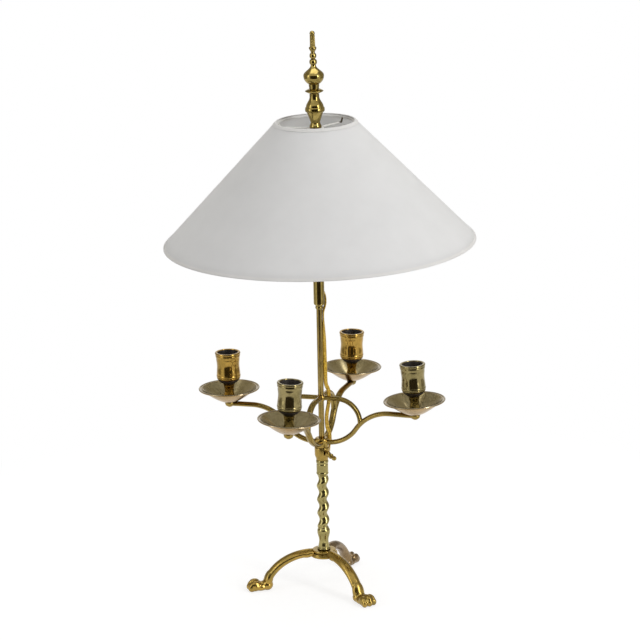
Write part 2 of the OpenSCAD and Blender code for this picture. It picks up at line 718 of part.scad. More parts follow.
module cup_screw(i) {
    dome_r = (cup_head_r*cup_head_r + cup_head_h*cup_head_h)/(2*cup_head_h);
    color("#8E7A3C") candle_frame(i) translate([0, 0, -eye_h/2]) {
        turned([for (k = [0:6]) let(z = -cup_head_h*(1 - k/6), up = z + cup_head_h - dome_r)
            [sqrt(max(0, dome_r*dome_r - up*up)), z]], -cup_head_h, 0);
        translate([0, 0, -1]) cylinder(h = cup_screw_len + 1, r = cup_screw_r);
    }
}

module arm_right() {
    arm(0);
}

module arm_back() {
    arm(1);
}

module arm_left() {
    arm(2);
}

module arm_front() {
    arm(3);
}

module bow_right() {
    bow(0);
}

module bow_back() {
    bow(1);
}

module bow_left() {
    bow(2);
}

module bow_front() {
    bow(3);
}

module pan_right() {
    pan(0);
}

module pan_back() {
    pan(1);
}

module pan_left() {
    pan(2);
}

module pan_front() {
    pan(3);
}

module cup_right() {
    cup(0);
}

module cup_back() {
    cup(1);
}

module cup_left() {
    cup(2);
}

module cup_front() {
    cup(3);
}

module cup_screw_right() {
    cup_screw(0);
}

module cup_screw_back() {
    cup_screw(1);
}

module cup_screw_left() {
    cup_screw(2);
}

module cup_screw_front() {
    cup_screw(3);
}

// ---- lead: a flat two-core flex, swept along its route ----

function curve4(a, b, c, d, t) = 0.5*(2*b + (c - a)*t + (2*a - 5*b + 4*c - d)*t*t
    + (3*b - a - 3*c + d)*t*t*t);

lead_stations = [for (i = [0:len(lead_route) - 2], k = [0:lead_steps - 1])
    curve4(lead_route[max(i - 1, 0)], lead_route[i], lead_route[i + 1],
    lead_route[min(i + 2, len(lead_route) - 1)], k/lead_steps)];
lead_rings = concat(lead_stations, [lead_route[len(lead_route) - 1]]);

function lead_point(s) = [s[0]*cos(s[1]), s[0]*sin(s[1]), s[2]];

function unit(v) = v/norm(v);

// one ring: an oval whose wide side lies across the rod at turn 0 and along a radius at turn 90
function lead_ring(i) = let(s = lead_rings[i], last = len(lead_rings) - 1,
    t = unit(lead_point(lead_rings[min(i + 1, last)]) - lead_point(lead_rings[max(i - 1, 0)])),
    aim = cos(s[3])*[-sin(s[1]), cos(s[1]), 0] + sin(s[3])*[cos(s[1]), sin(s[1]), 0],
    across = unit(aim - (aim*t)*t), up = cross(t, across))
    [for (k = [0:lead_sides - 1]) lead_point(s) + lead_w/2*cos(360*k/lead_sides)*across
    + lead_t/2*sin(360*k/lead_sides)*up];

module lead() {
    n = lead_sides;
    last = len(lead_rings) - 1;
    color("#B8932F") polyhedron(points = [for (i = [0:last]) each lead_ring(i)],
        faces = concat([[for (k = [0:n - 1]) k]], [[for (k = [n - 1:-1:0]) last*n + k]],
        [for (i = [0:last - 1], k = [0:n - 1])
        [i*n + k, (i + 1)*n + k, (i + 1)*n + (k + 1)%n, i*n + (k + 1)%n]]));
}

// ---- lamp holder ----

module holder_sleeve() {
    color("#B08F3F") difference() {
        translate([0, 0, sleeve_foot]) cylinder(h = sleeve_len, r = sleeve_r);
        translate([0, 0, sleeve_foot - 1]) cylinder(h = sleeve_len + 2, r = sleeve_bore_r);
        rotate([0, 0, lead_azimuth]) translate([0, -slot_w/2, sleeve_foot + spigot_len + 0.5])
            cube([sleeve_r + 2, slot_w, slot_h]);
        rotate([0, 0, lead_azimuth + 180]) translate([0, 0, grub_z]) rotate([0, 90, 0])
            cylinder(h = sleeve_r + 2, r = screw_r);
    }
}

module sleeve_ferrule() {
    color("#A08640") difference() {
        union() {
            turned(concat(bead(ferrule_r - 1.4, sleeve_foot - ferrule_h, sleeve_foot - 3.4, 0.7, 6),
                ogee(ferrule_r - 1.2, sleeve_foot - 3.4, ferrule_r, sleeve_foot - 1.2, 4),
                [[sleeve_r - 0.3, sleeve_foot - 1]], [[sleeve_r - 0.3, sleeve_foot]]),
                sleeve_foot - ferrule_h, sleeve_foot);
            translate([0, 0, sleeve_foot - 0.5]) cylinder(h = spigot_len + 0.5, r = sleeve_bore_r);
        }
        translate([0, 0, sleeve_foot - ferrule_h - 1]) cylinder(h = ferrule_h + spigot_len + 2, r = rod_r);
    }
}

module sleeve_screw() {
    color("#8E7A3C") rotate([0, 0, lead_azimuth + 180]) translate([0, 0, grub_z]) rotate([0, 90, 0]) {
        translate([0, 0, rod_r]) cylinder(h = sleeve_r + 1 - rod_r, r = screw_r);
        translate([0, 0, sleeve_r]) cylinder(h = 5, r = 3.4);
    }
}

// the frame of one lamp: +Z outward along the socket's axis
module socket_frame(i) {
    rotate([0, 0, socket_azimuth + 180*i]) translate([0, 0, socket_z]) rotate([0, socket_tilt, 0])
        children();
}

module holder_body() {
    waist = sleeve_r + 2;
    shoulder = holder_bottom + holder_h*0.32;
    top = holder_bottom + holder_h;
    color("#B08F3F") difference() {
        turned(concat([[waist, holder_bottom]], bead(waist, holder_bottom, holder_bottom + 3, 1, 6),
            ogee(waist, holder_bottom + 3, holder_r, shoulder),
            [[holder_r, shoulder + holder_h*0.36]],
            swell(holder_r, shoulder + holder_h*0.36, waist, top - 2)), holder_bottom, top - 2);
        translate([0, 0, holder_bottom - 1]) cylinder(h = holder_h + 2, r = rod_r);
        translate([0, 0, holder_bottom - 1]) cylinder(h = 6, r = sleeve_bore_r);
        for (k = [0:1]) socket_frame(k) translate([0, 0, rod_r + 4]) cylinder(h = 20, r = nipple_r);
    }
}

module nipple(i) {
    color("#9C8038") socket_frame(i) translate([0, 0, rod_r + 4]) difference() {
        cylinder(h = socket_start + 4 - rod_r - 4, r = nipple_r);
        translate([0, 0, -1]) cylinder(h = socket_start, r = nipple_bore);
    }
}

module socket_cap(i) {
    neck_r = nipple_r + 2.4;
    rim_r = socket_r + cap_wall;
    color("#B4954A") socket_frame(i) translate([0, 0, socket_start]) difference() {
        turned(concat([[neck_r, 0]], ogee(neck_r, 2, rim_r, cap_h - 5), [[rim_r, cap_h]]), 0, cap_h);
        translate([0, 0, 3.5]) cylinder(h = cap_h - 7.4, r1 = nipple_r + 1, r2 = core_r - 1);
        translate([0, 0, cap_h - 4]) cylinder(h = 5, r = socket_r);
        translate([0, 0, -1]) cylinder(h = 6, r = nipple_r);
    }
}

module socket_shell(i) {
    start = socket_start + cap_h - 4;
    color("#B4954A") socket_frame(i) difference() {
        translate([0, 0, start]) cylinder(h = socket_len, r = socket_r);
        translate([0, 0, start - 1]) cylinder(h = socket_len + 2, r = socket_r - cap_wall);
        translate([0, 0, knob_x]) rotate([0, 90, 0]) cylinder(h = socket_r + 2, r = knob_shaft_r + knob_fit);
    }
}

// the switch block and the screw shell that takes the bulb
module socket_core(i) {
    start = socket_start + cap_h - 4;
    block = 16;
    color("#3A332C") socket_frame(i) difference() {
        union() {
            translate([0, 0, start]) cylinder(h = block, r = core_r);
            translate([0, 0, start + block - eps]) cylinder(h = socket_len - block - 2, r = screw_shell_r);
        }
        translate([0, 0, start + block]) cylinder(h = socket_len, r = bulb_base_r);
    }
}

module switch_knob(i) {
    color("#2B2622") socket_frame(i) translate([0, 0, knob_x]) rotate([0, 90, 0]) {
        translate([0, 0, core_r + 0.3]) cylinder(h = socket_r + 3 - core_r, r = knob_shaft_r);
        translate([0, 0, socket_r + 2]) turned(concat([[5.4, 0]], [[5.4, 1.6]],
            ogee(5.4, 1.6, 2.8, 4.4, 6)), 0, 4.4);
        translate([-5, -1.3, socket_r + 5]) cube([10, 2.6, 10]);
    }
}

// a bulb: screw base, neck and round glass, hollow from its base
module bulb(i) {
    start = socket_start + cap_h - 4 + 16.4;
    wall = 0.9;
    color("#EDEBE2") socket_frame(i) difference() {
        bulb_form(start, bulb_base_r - 0.2, bulb_glass_r);
        translate([0, 0, -eps]) bulb_form(start, bulb_base_r - 0.2 - wall, bulb_glass_r - wall);
    }
}

module bulb_form(start, base_r, glass_r) {
    glass_z = socket_mouth + bulb_glass_len - bulb_glass_r;
    meet = acos((base_r + 1)/glass_r);
    turned(concat([[base_r, start]], [[base_r, socket_mouth + 1]], [[base_r + 1, socket_mouth + 3]],
        [for (k = [0:10]) let(a = -meet + (90 + meet)*k/10)
        [glass_r*cos(a), glass_z + glass_r*sin(a)]]), start, glass_z + glass_r);
}

module nipple_1() {
    nipple(0);
}

module nipple_2() {
    nipple(1);
}

module socket_cap_1() {
    socket_cap(0);
}

module socket_cap_2() {
    socket_cap(1);
}

module socket_shell_1() {
    socket_shell(0);
}

module socket_shell_2() {
    socket_shell(1);
}

module socket_core_1() {
    socket_core(0);
}

module socket_core_2() {
    socket_core(1);
}

module switch_knob_1() {
    switch_knob(0);
}

module switch_knob_2() {
    switch_knob(1);
}

module bulb_1() {
    bulb(0);
}

module bulb_2() {
    bulb(1);
}

// ---- shade ----

module shade_seat() {
    color("#9C8038") difference() {
        leaned() turned([[6, seat_z - 8], [washer_r - 1, seat_z - 3], [washer_r, seat_z - 2.4],
            [washer_r, seat_z]], seat_z - 8, seat_z);
        translate([0, 0, seat_z - 12]) cylinder(h = 11, r = rod_r);
        translate([0, 0, seat_z - 1.5]) cylinder(h = 3, r = tip_r);
    }
}

// a flat band round the shade's cone, from height z0 to z1, in by d0 and d1 from the outside
module cone_band(z0, z1, d0, d1) {
    r0 = shade_top_r + (shade_top_z - z0)*slope_r;
    r1 = shade_top_r + (shade_top_z - z1)*slope_r;
    leaned() rotate_extrude($fn = 96)
        polygon([[r0 - d0, z0], [r1 - d0, z1], [r1 - d1, z1], [r0 - d1, z0]]);
}

module shade_skin() {
    color("#F4F3F0") cone_band(shade_bottom_z, shade_top_z, trim_across, trim_across + skin_across);
}

module top_trim() {
    color("#F7F6F3") cone_band(shade_top_z - hem_h, shade_top_z, 0, trim_across);
}

module bottom_trim() {
    color("#F7F6F3") cone_band(shade_bottom_z, shade_bottom_z + hem_h, 0, trim_across);
}

module top_ring() {
    color("#8A8778") leaned() translate([0, 0, top_ring_z]) rotate_extrude($fn = 96)
        translate([top_ring_r, 0]) circle(ring_wire_r);
}

module bottom_ring() {
    color("#D9D7D0") leaned() translate([0, 0, bottom_ring_z]) rotate_extrude($fn = 96)
        translate([bottom_ring_r, 0]) circle(ring_wire_r);
}

// the spider: a washer on the seat, and arms that run level before they turn up to the top ring
module spider() {
    arm_r = ring_wire_r*0.8;
    turn_r = top_ring_r - 4;
    turn_z = seat_z + washer_h/2;
    reach = top_ring_r - ring_wire_r - turn_r + 0.5;
    rise = top_ring_z - turn_z;
    color("#8E7A3C") leaned() difference() {
        union() {
            translate([0, 0, seat_z]) cylinder(h = washer_h, r = washer_r);
            for (k = [0:spider_arms - 1]) rotate([0, 0, spider_azimuth + 360/spider_arms*k]) {
                translate([washer_r - 2, 0, turn_z]) rotate([0, 90, 0])
                    cylinder(h = turn_r - washer_r + 2, r = arm_r*0.98);
                translate([turn_r, 0, turn_z]) sphere(arm_r);
                translate([turn_r, 0, turn_z]) rotate([0, atan2(reach, rise), 0])
                    cylinder(h = norm([reach, rise]), r = arm_r*0.98);
            }
        }
        translate([0, 0, seat_z - 1]) cylinder(h = washer_h + 2, r = rod_r + 0.4);
        translate([0, 0, top_ring_z]) rotate_extrude($fn = 96) translate([top_ring_r, 0])
            circle(ring_wire_r);
        translate([0, 0, seat_z - 3]) cylinder(h = 3, r = washer_r + 8);
        translate([0, 0, finial_z]) cylinder(h = 3, r = finial_foot_r + 0.6);
    }
}

// ---- finial ----

module finial_vase() {
    z = finial_z;
    waist_z = z + vase_h*0.2;
    belt_z = z + vase_h*0.5;
    neck_z = z + vase_h*0.84;
    disc_z = z + vase_h;
    color("#B4954A") leaned() difference() {
        turned(concat([[finial_foot_r, z]], [[finial_foot_r, z + 1.2]],
            ogee(finial_foot_r, z + 1.2, finial_foot_r - 1.7, waist_z - 2.4, 6),
            [[finial_foot_r - 1.7, waist_z - 2], [belt_r - 1.8, belt_z - 3]],
            bead(belt_r - 0.7, belt_z - 2.6, belt_z + 2.6, 0.7, 6),
            ogee(belt_r - 1.2, belt_z + 3, finial_neck_r, neck_z), [[finial_neck_r, disc_z - disc_half]],
            [[disc_r - 0.5, disc_z - 0.6]], [[disc_r, disc_z]], [[disc_r - 0.5, disc_z + 0.6]],
            [[finial_neck_r, disc_z + disc_half]]), z, disc_z + disc_half);
        translate([0, 0, z - 1]) cylinder(h = tip_h + 2, r = tip_r + 0.55);
    }
}

// onion, two beads, knop, reeded shaft and tip ball
module finial_spire() {
    z = finial_z + vase_h + disc_half;
    onion_z = z + onion_neck_h;
    wide_z = onion_z + onion_h*0.45;
    spire_z = onion_z + onion_h;
    u = spire_h/41.2;
    shaft_z = spire_z + 22.4*u;
    shaft_top = spire_z + 35.9*u;
    tip_ball = 3.15;
    color("#B4954A") leaned() union() {
        turned(concat(ogee(finial_neck_r, z, onion_foot_r, onion_z - 0.4, 4),
            [for (k = [0:8]) let(a = -64 + 64*k/8)
            [onion_foot_r + (onion_r - onion_foot_r)*(cos(a) - cos(64))/(1 - cos(64)),
            wide_z + (wide_z - onion_z)*sin(a)/sin(64)]],
            ogee(onion_r, wide_z + 0.4, 3.1, spire_z)), z, spire_z);
        turned(concat([[3, spire_z - eps]], bead(3, spire_z + 0.6*u, spire_z + 7*u, 1.6),
            [[2.4, spire_z + 7.5*u]], bead(2.6, spire_z + 8*u, spire_z + 14.4*u, 1.55),
            [[2.45, spire_z + 15*u]], ogee(2.5, spire_z + 15.6*u, 4, spire_z + 19*u, 5),
            bead(4, spire_z + 19.2*u, spire_z + 21.8*u, 0.55, 6),
            [[3, shaft_z]], [[2.3, shaft_top]], [for (k = [0:8]) let(a = -45 + 135*k/8)
            [tip_ball*cos(a), spire_z + spire_h - tip_ball*u*(1 - sin(a))]]),
            spire_z - eps, spire_z + spire_h);
        for (k = [0:reed_count - 1]) rotate([0, 0, 360/reed_count*k])
            translate([2.4, 0, shaft_z - 1]) cylinder(h = shaft_top - shaft_z + 1.4, r1 = 0.85, r2 = 0.6);
    }
}

tripod_hub();
leg_left();
leg_front();
leg_back();
column_nut();
outlet_bush();
twisted_column();
centre_rod();
clamp_boss();
thumbscrew();
lower_collar();
upper_collar();
arm_right();
arm_back();
arm_left();
arm_front();
bow_right();
bow_back();
bow_left();
bow_front();
pan_right();
pan_back();
pan_left();
pan_front();
cup_right();
cup_back();
cup_left();
cup_front();
cup_screw_right();
cup_screw_back();
cup_screw_left();
cup_screw_front();
lead();
holder_sleeve();
sleeve_ferrule();
sleeve_screw();
holder_body();
nipple_1();
nipple_2();
socket_cap_1();
socket_cap_2();
socket_shell_1();
socket_shell_2();
socket_core_1();
socket_core_2();
switch_knob_1();
switch_knob_2();
bulb_1();
bulb_2();
shade_seat();
spider();
top_ring();
bottom_ring();
shade_skin();
top_trim();
bottom_trim();
finial_vase();
finial_spire();
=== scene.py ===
import json
from math import acos, atan, atan2, copysign, cos, degrees, exp, hypot, pi, radians, sin

import bmesh
import bpy
from mathutils import Matrix, Vector


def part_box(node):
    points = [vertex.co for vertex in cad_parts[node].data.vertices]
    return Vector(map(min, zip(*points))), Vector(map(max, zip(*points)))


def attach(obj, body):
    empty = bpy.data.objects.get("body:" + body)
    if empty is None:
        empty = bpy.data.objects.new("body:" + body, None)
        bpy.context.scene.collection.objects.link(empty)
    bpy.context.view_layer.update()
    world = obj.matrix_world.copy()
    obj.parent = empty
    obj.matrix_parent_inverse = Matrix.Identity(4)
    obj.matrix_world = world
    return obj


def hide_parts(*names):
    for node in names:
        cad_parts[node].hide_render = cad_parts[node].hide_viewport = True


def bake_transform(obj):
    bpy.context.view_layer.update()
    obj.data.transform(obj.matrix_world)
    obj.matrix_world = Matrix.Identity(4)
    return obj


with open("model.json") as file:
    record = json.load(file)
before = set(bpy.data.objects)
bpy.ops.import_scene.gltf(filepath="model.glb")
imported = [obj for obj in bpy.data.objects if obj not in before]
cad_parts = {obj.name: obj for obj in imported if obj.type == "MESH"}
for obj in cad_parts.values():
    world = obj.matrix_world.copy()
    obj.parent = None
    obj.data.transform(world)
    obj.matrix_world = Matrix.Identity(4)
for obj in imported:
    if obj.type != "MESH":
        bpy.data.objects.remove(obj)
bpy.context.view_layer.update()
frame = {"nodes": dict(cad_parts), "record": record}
print("frame loaded")

mm = 0.001
nodes = frame["nodes"]
jointByName = {joint["name"]: joint for joint in frame["record"]["behaviour"]["joints"]}


def values(sizes, names):
    # the entries named in one string, in its order
    return [sizes[name] for name in names.split()]


# heights and places that the frame gives, in millimetres
def low(node):
    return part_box(node)[0].z / mm


def high(node):
    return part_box(node)[1].z / mm


level = {
    "hub": low("tripod_hub"), "hubTop": high("tripod_hub"),
    "columnFoot": low("twisted_column"), "columnTop": high("twisted_column"),
    "bossTop": high("clamp_boss"), "collarTop": high("lower_collar"),
    "bow": (low("upper_collar") + high("upper_collar")) / 2,
    "sleeveFoot": low("holder_sleeve"), "sleeveTop": high("holder_sleeve"),
    "rodFoot": low("centre_rod"), "seat": jointByName["shade_turn"]["pos_m"][2] / mm,
}
cornerNames = ["right", "back", "left", "front"]


# small tools
def clearSelection():
    if bpy.context.object and bpy.context.object.mode != "OBJECT":
        bpy.ops.object.mode_set(mode="OBJECT")
    bpy.ops.object.select_all(action="DESELECT")


def pick(*objects):
    clearSelection()
    for o in objects:
        o.select_set(True)
    bpy.context.view_layer.objects.active = objects[0]


def named(name):
    made = bpy.context.object
    made.name = name
    made.data.name = name
    return made


def applyPlace():
    bpy.ops.object.transform_apply(location=True, rotation=True, scale=True)


def settle(made, placement=None):
    # the object ends at the origin, unturned, with its place in its mesh
    pick(made)
    if placement is not None:
        made.matrix_world = placement @ made.matrix_world
    applyPlace()
    return made


def finishWith(made, kind, **settings):
    pick(made)
    modifier = made.modifiers.new(kind.lower(), kind)
    for key, value in settings.items():
        setattr(modifier, key, value)
    bpy.ops.object.modifier_apply(modifier=modifier.name)
    return made


def smoothEdges(made, angle=35):
    pick(made)
    bpy.ops.object.shade_smooth_by_angle(angle=radians(angle))
    return made


def join(name, *parts):
    pick(*parts)
    bpy.ops.object.join()
    return named(name)


def editAll():
    bpy.ops.object.mode_set(mode="EDIT")
    bpy.ops.mesh.select_all(action="SELECT")


def closeEdit():
    # doubles merged and faces turned outwards, then back to object mode
    bpy.ops.mesh.select_all(action="SELECT")
    bpy.ops.mesh.remove_doubles(threshold=0.002 * mm)
    bpy.ops.mesh.normals_make_consistent(inside=False)
    bpy.ops.object.mode_set(mode="OBJECT")


def moveBy(*place):
    return Matrix.Translation(Vector(place) * mm)


def turnBy(angle, axis="Z"):
    return Matrix.Rotation(radians(angle), 4, axis)


def tiltTo(axis):
    return Vector((0, 0, 1)).rotation_difference(Vector(axis)).to_matrix().to_4x4()


# outlines of turned work, as points (radius, height) in millimetres
def bead(r, z0, z1, h, n=12):
    return [(r + h * sin(pi * i / n), z0 + (z1 - z0) * (1 - cos(pi * i / n)) / 2)
            for i in range(n + 1)]


def ogee(r0, z0, r1, z1, n=12):
    return [(r0 + (r1 - r0) * (1 - cos(pi * i / n)) / 2, z0 + (z1 - z0) * i / n)
            for i in range(n + 1)]


def swell(r0, z0, r1, z1, n=10):
    return [(r1 + (r0 - r1) * cos(pi / 2 * i / n), z0 + (z1 - z0) * sin(pi / 2 * i / n))
            for i in range(n + 1)]


def flare(r0, z0, r1, z1, n=10):
    return [(r0 + (r1 - r0) * sin(pi / 2 * i / n), z1 + (z0 - z1) * cos(pi / 2 * i / n))
            for i in range(n + 1)]


def turned(name, outline, steps=96, edge=0.2, placement=None):
    # one point is drawn along the outline, then spun round the upright axis
    clearSelection()
    here = outline[0]
    bpy.ops.mesh.primitive_plane_add(size=0.2 * mm, location=(here[0] * mm, 0, here[1] * mm))
    editAll()
    bpy.ops.mesh.merge(type="CENTER")
    for point in outline[1:]:
        step = (point[0] - here[0], point[1] - here[1])
        if abs(step[0]) + abs(step[1]) < 1e-4:
            continue
        bpy.ops.mesh.extrude_vertices_move(TRANSFORM_OT_translate={"value": (step[0] * mm, 0, step[1] * mm)})
        here = point
    bpy.ops.mesh.select_all(action="SELECT")
    bpy.ops.object.mode_set(mode="OBJECT")
    made = settle(named(name))
    editAll()
    bpy.ops.mesh.spin(steps=steps, dupli=False, angle=2 * pi, center=(0, 0, 0), axis=(0, 0, 1))
    closeEdit()
    if edge:
        finishWith(made, "BEVEL", width=edge * mm, segments=2, limit_method="ANGLE",
                   angle_limit=radians(40), use_clamp_overlap=True)
    return smoothEdges(settle(made, placement))


def ring(thick, wide, start, ridge):
    # an open oval, half sizes thick (upright) and wide (side to side), that a tube grows from along +X
    # its top rises to a soft crease, which is then swept along the tube
    clearSelection()
    bpy.ops.mesh.primitive_circle_add(vertices=40, radius=mm, fill_type="NGON", rotation=(0, pi / 2, 0),
                                      location=(start[0] * mm, 0, start[1] * mm))
    bpy.context.object.scale = (thick, wide, 1)
    applyPlace()
    editAll()
    mesh = bmesh.from_edit_mesh(bpy.context.object.data)
    top = max(v.co.z for v in mesh.verts)
    centre = (top + min(v.co.z for v in mesh.verts)) / 2
    for v in mesh.verts:
        v.co.z += ridge * mm * max(0.0, (v.co.z - centre) / (top - centre)) ** 6
    bmesh.update_edit_mesh(bpy.context.object.data)


def bendTube(centre, angle, up=True, steps=24):
    # the selected end sweeps on round a centre (x, z); spin turns the left-handed way
    bpy.ops.mesh.spin(steps=steps, dupli=False, angle=radians(angle),
                      center=(centre[0] * mm, 0, centre[1] * mm), axis=(0, 1 if up else -1, 0))


def runTube(dx, dz):
    bpy.ops.mesh.extrude_region_move(TRANSFORM_OT_translate={"value": (dx * mm, 0, dz * mm)})


def endTube(name):
    closeEdit()
    return named(name)


def lump(place, radii, turn=(0, 0, 0)):
    # a soft lump of metal, melted into its neighbours later
    clearSelection()
    bpy.ops.mesh.primitive_uv_sphere_add(segments=28, ring_count=18, radius=mm, location=Vector(place) * mm,
                                         rotation=[radians(a) for a in turn])
    bpy.context.object.scale = radii
    applyPlace()
    return bpy.context.object


def melt(made, voxel, soften, factor=0.5):
    # joined lumps become one skin, and its corners are softened as in worn cast metal
    finishWith(made, "REMESH", mode="VOXEL", voxel_size=voxel * mm)
    finishWith(made, "SMOOTH", factor=factor, iterations=soften)
    pick(made)
    bpy.ops.object.shade_smooth()
    return made


def cutSlot(made, size, placement, angle=35):
    # a slot is cut with a plain block
    clearSelection()
    bpy.ops.mesh.primitive_cube_add(size=mm)
    bpy.context.object.scale = size
    cutter = settle(settle(named("slotCutter")), placement)
    finishWith(made, "BOOLEAN", object=cutter, operation="DIFFERENCE", solver="EXACT")
    bpy.data.objects.remove(cutter)
    return smoothEdges(made, angle)


# the shade and finial lean along their joint's axis
leanPlacement = (moveBy(0, 0, level["seat"]) @ tiltTo(jointByName["shade_turn"]["axis"])
                 @ moveBy(0, 0, -level["seat"]))


# materials
def linear(hexColour):
    # sRGB hex to the linear colour a shader works in
    values = [int(hexColour[i:i + 2], 16) / 255 for i in (1, 3, 5)]
    return tuple(v / 12.92 if v <= 0.04045 else ((v + 0.055) / 1.055) ** 2.4 for v in values) + (1.0,)


def setNode(node, settings=None, links=None):
    # a link comes from a socket, or from a node's first output in use
    for key, value in (settings or {}).items():
        if isinstance(key, int) or key in node.inputs:
            node.inputs[key].default_value = value
        else:
            setattr(node, key, value)
    for key, source in (links or {}).items():
        if hasattr(source, "outputs"):
            source = next(socket for socket in source.outputs if socket.enabled)
        node.id_data.links.new(source, node.inputs[key])
    return node


def addNode(tree, kind, settings=None, links=None):
    return setNode(tree.nodes.new("ShaderNode" + kind), settings, links)


def colourRamp(tree, source, stops):
    ramp = addNode(tree, "ValToRGB", links={"Fac": source})
    while len(ramp.color_ramp.elements) < len(stops):
        ramp.color_ramp.elements.new(0.5)
    for element, (place, colour) in zip(ramp.color_ramp.elements, stops):
        element.position = place
        element.color = linear(colour) if isinstance(colour, str) else (colour, colour, colour, 1.0)
    return ramp


def newMaterial(name):
    material = bpy.data.materials.new(name)
    material.use_nodes = True
    tree = material.node_tree
    tree.nodes.clear()
    shader = addNode(tree, "BsdfPrincipled")
    output = addNode(tree, "OutputMaterial", links={"Surface": shader})
    return material, tree, shader, addNode(tree, "TexCoord").outputs["Object"], output


def brass(name, polish, tarnish, deep, roughness, tarnishShare=0.5, dent=0.0, paintedShadeShare=0.6):
    # worn brass: clear metal where hands rub it, brown-green tarnish in soft clouds, and painted shade
    # darkening its hollows
    material, tree, shader, spot, _ = newMaterial(name)
    noises = (60.0, 4.0, 0.6), (420.0, 3.0, 0.7), (900.0, 2.0, 0.5), (140.0, 2.0, 0.5)
    clouds, specks, grain, waves = [
        addNode(tree, "TexNoise", {"Scale": scale, "Detail": detail, "Roughness": rough}, {"Vector": spot})
        for scale, detail, rough in noises]
    wear = addNode(tree, "Mix", {"data_type": "FLOAT", "Factor": 0.35}, {"A": clouds, "B": specks})
    shift = (0.5 - tarnishShare) * 0.4
    tone = colourRamp(tree, wear, [(0.34 + shift, tarnish), (0.62 + shift, polish)])
    # painted shade: ambient occlusion finds the hollows, and they are mixed towards the deep colour
    hollow = addNode(tree, "AmbientOcclusion", {"samples": 8, "Distance": 3.5 * mm})
    depth = colourRamp(tree, hollow.outputs["AO"], [(0.25, 1.0), (0.8, 0.0)])
    share = addNode(tree, "Math", {"operation": "MULTIPLY", 1: paintedShadeShare}, {0: depth})
    final = addNode(tree, "Mix", {"data_type": "RGBA", "B": linear(deep)}, {"Factor": share, "A": tone})
    gloss = addNode(tree, "MapRange", {"From Min": 0.35, "From Max": 0.65, "To Min": roughness * 1.5,
                                       "To Max": roughness * 0.75}, {"Value": wear})
    height = addNode(tree, "Mix", {"data_type": "FLOAT", "Factor": 0.6}, {"A": grain, "B": waves})
    bump = addNode(tree, "Bump", {"Strength": 0.04 + dent, "Distance": 0.25 * mm}, {"Height": height})
    setNode(shader, {"Metallic": 1.0}, {"Base Color": final, "Roughness": gloss, "Normal": bump})
    return material


# the third colour given to each brass is its painted shade in the hollows
# cast brass, wiped rather than polished: golden with brown-green clouds
castBrass = brass("castBrassWorn", "#B3934A", "#877640", "#3E2C0E", 0.2, 0.5, 0.02)
# the back leg's shaded copy of the cast brass: painted shade, browner with a red tint
shadedBrass = brass("castBrassShaded", "#917A58", "#6C5B43", "#3A2214", 0.26, 0.55, 0.02)
# the arms, wiped least on top
armBrass = brass("castBrassOlive", "#A08748", "#776838", "#33260C", 0.2, 0.5, 0.02)
# the column, handled least: paler and greener
columnBrass = brass("castBrassGreenish", "#AA9D66", "#867B4C", "#3A2C10", 0.15, 0.5, 0.01, 0.35)
# the drawn rod, dull and olive
rodBrass = brass("drawnBrassOlive", "#A28A4E", "#77673A", "#3A2C10", 0.2, 0.5)
# spun brass inside the pans, gone to a dull taupe
panBrass = brass("spunBrassTaupe", "#B5A67E", "#968860", "#5A4A2C", 0.2, 0.5, 0, 0.4)
# spun brass under the pans: a warmer copy for faces pointing down, painted reflection of the pale table
panUnderReflection = brass("spunBrassTableReflection", "#B29158", "#8D7341", "#5A4424", 0.22, 0.45)
# the pans' rims: a pale copy of the brass, painted highlight along the rim's top
panRimHighlight = brass("spunBrassRimHighlight", "#B5A78C", "#9A8C6E", "#4E3E26", 0.16, 0.4)
# turned brass cups, olive where the lacquer has gone
cupBrass = brass("turnedBrassOlive", "#9A8C60", "#736842", "#33270C", 0.12, 0.55, 0, 0.2)
# turned brass cups whose lacquer has lasted
cupWarmBrass = brass("turnedBrassWarm", "#BE984A", "#90763A", "#3C2A0C", 0.12, 0.45, 0, 0.2)
# the finial and sleeve: bright polish, little tarnish, painted shade in the grooves
brightBrass = brass("turnedBrassPolished", "#AD9959", "#7E6C38", "#3C2C0E", 0.08, 0.4)


def mottled(name, scale, detail, tones, settings=None, roughness=None):
    # soft spots of noise pick the colour, and the roughness where it varies
    material, tree, shader, spot, _ = newMaterial(name)
    spots = addNode(tree, "TexNoise", {"Scale": scale, "Detail": detail}, {"Vector": spot})
    setNode(shader, settings, {"Base Color": colourRamp(tree, spots, tones)})
    if roughness:
        setNode(shader, links={"Roughness": colourRamp(tree, spots, roughness)})
    return material


# soft clear PVC over gold-coloured strands: wet gloss over a stranded metal look
flexGold = mottled("clearGoldFlex", 500.0, 3.0, [(0.3, "#9E7A14"), (0.52, "#CFA524"), (0.72, "#EACB50")],
                   {"Metallic": 0.25, "Roughness": 0.3, "Coat Weight": 0.35, "Coat Roughness": 0.08})
# moulded phenolic knobs and bushes: near black, softly glossy, fine mould grain
phenolic = mottled("mouldedPhenolic", 160.0, 3.0, [(0.3, "#17120F"), (0.7, "#2C2420")], {"Roughness": 0.35})
# bulb glass, frosted inside: milky white with a clear gloss outside
bulbGlass = mottled("frostedBulbGlass", 90.0, 2.0, [(0.3, "#E9E6DD"), (0.7, "#F6F4EE")],
                    {"Roughness": 0.25, "Coat Weight": 0.5, "Subsurface Weight": 0.3, "Subsurface Scale": 1.0,
                     "Subsurface Radius": (4 * mm, 4 * mm, 4 * mm)})
# the bore's colour: almost black, its roughness varying in spots
boreBlack = mottled("blackenedBore", 220.0, 4.0, [(0.3, "#140F0C"), (0.7, "#33281F")],
               roughness=[(0.3, 0.7), (0.7, 0.45)])


wireDarkTip = {"reach": 43.8, "azimuth": 45.0, "size": 7.0}  # where one arm of the spider is coloured dark metal
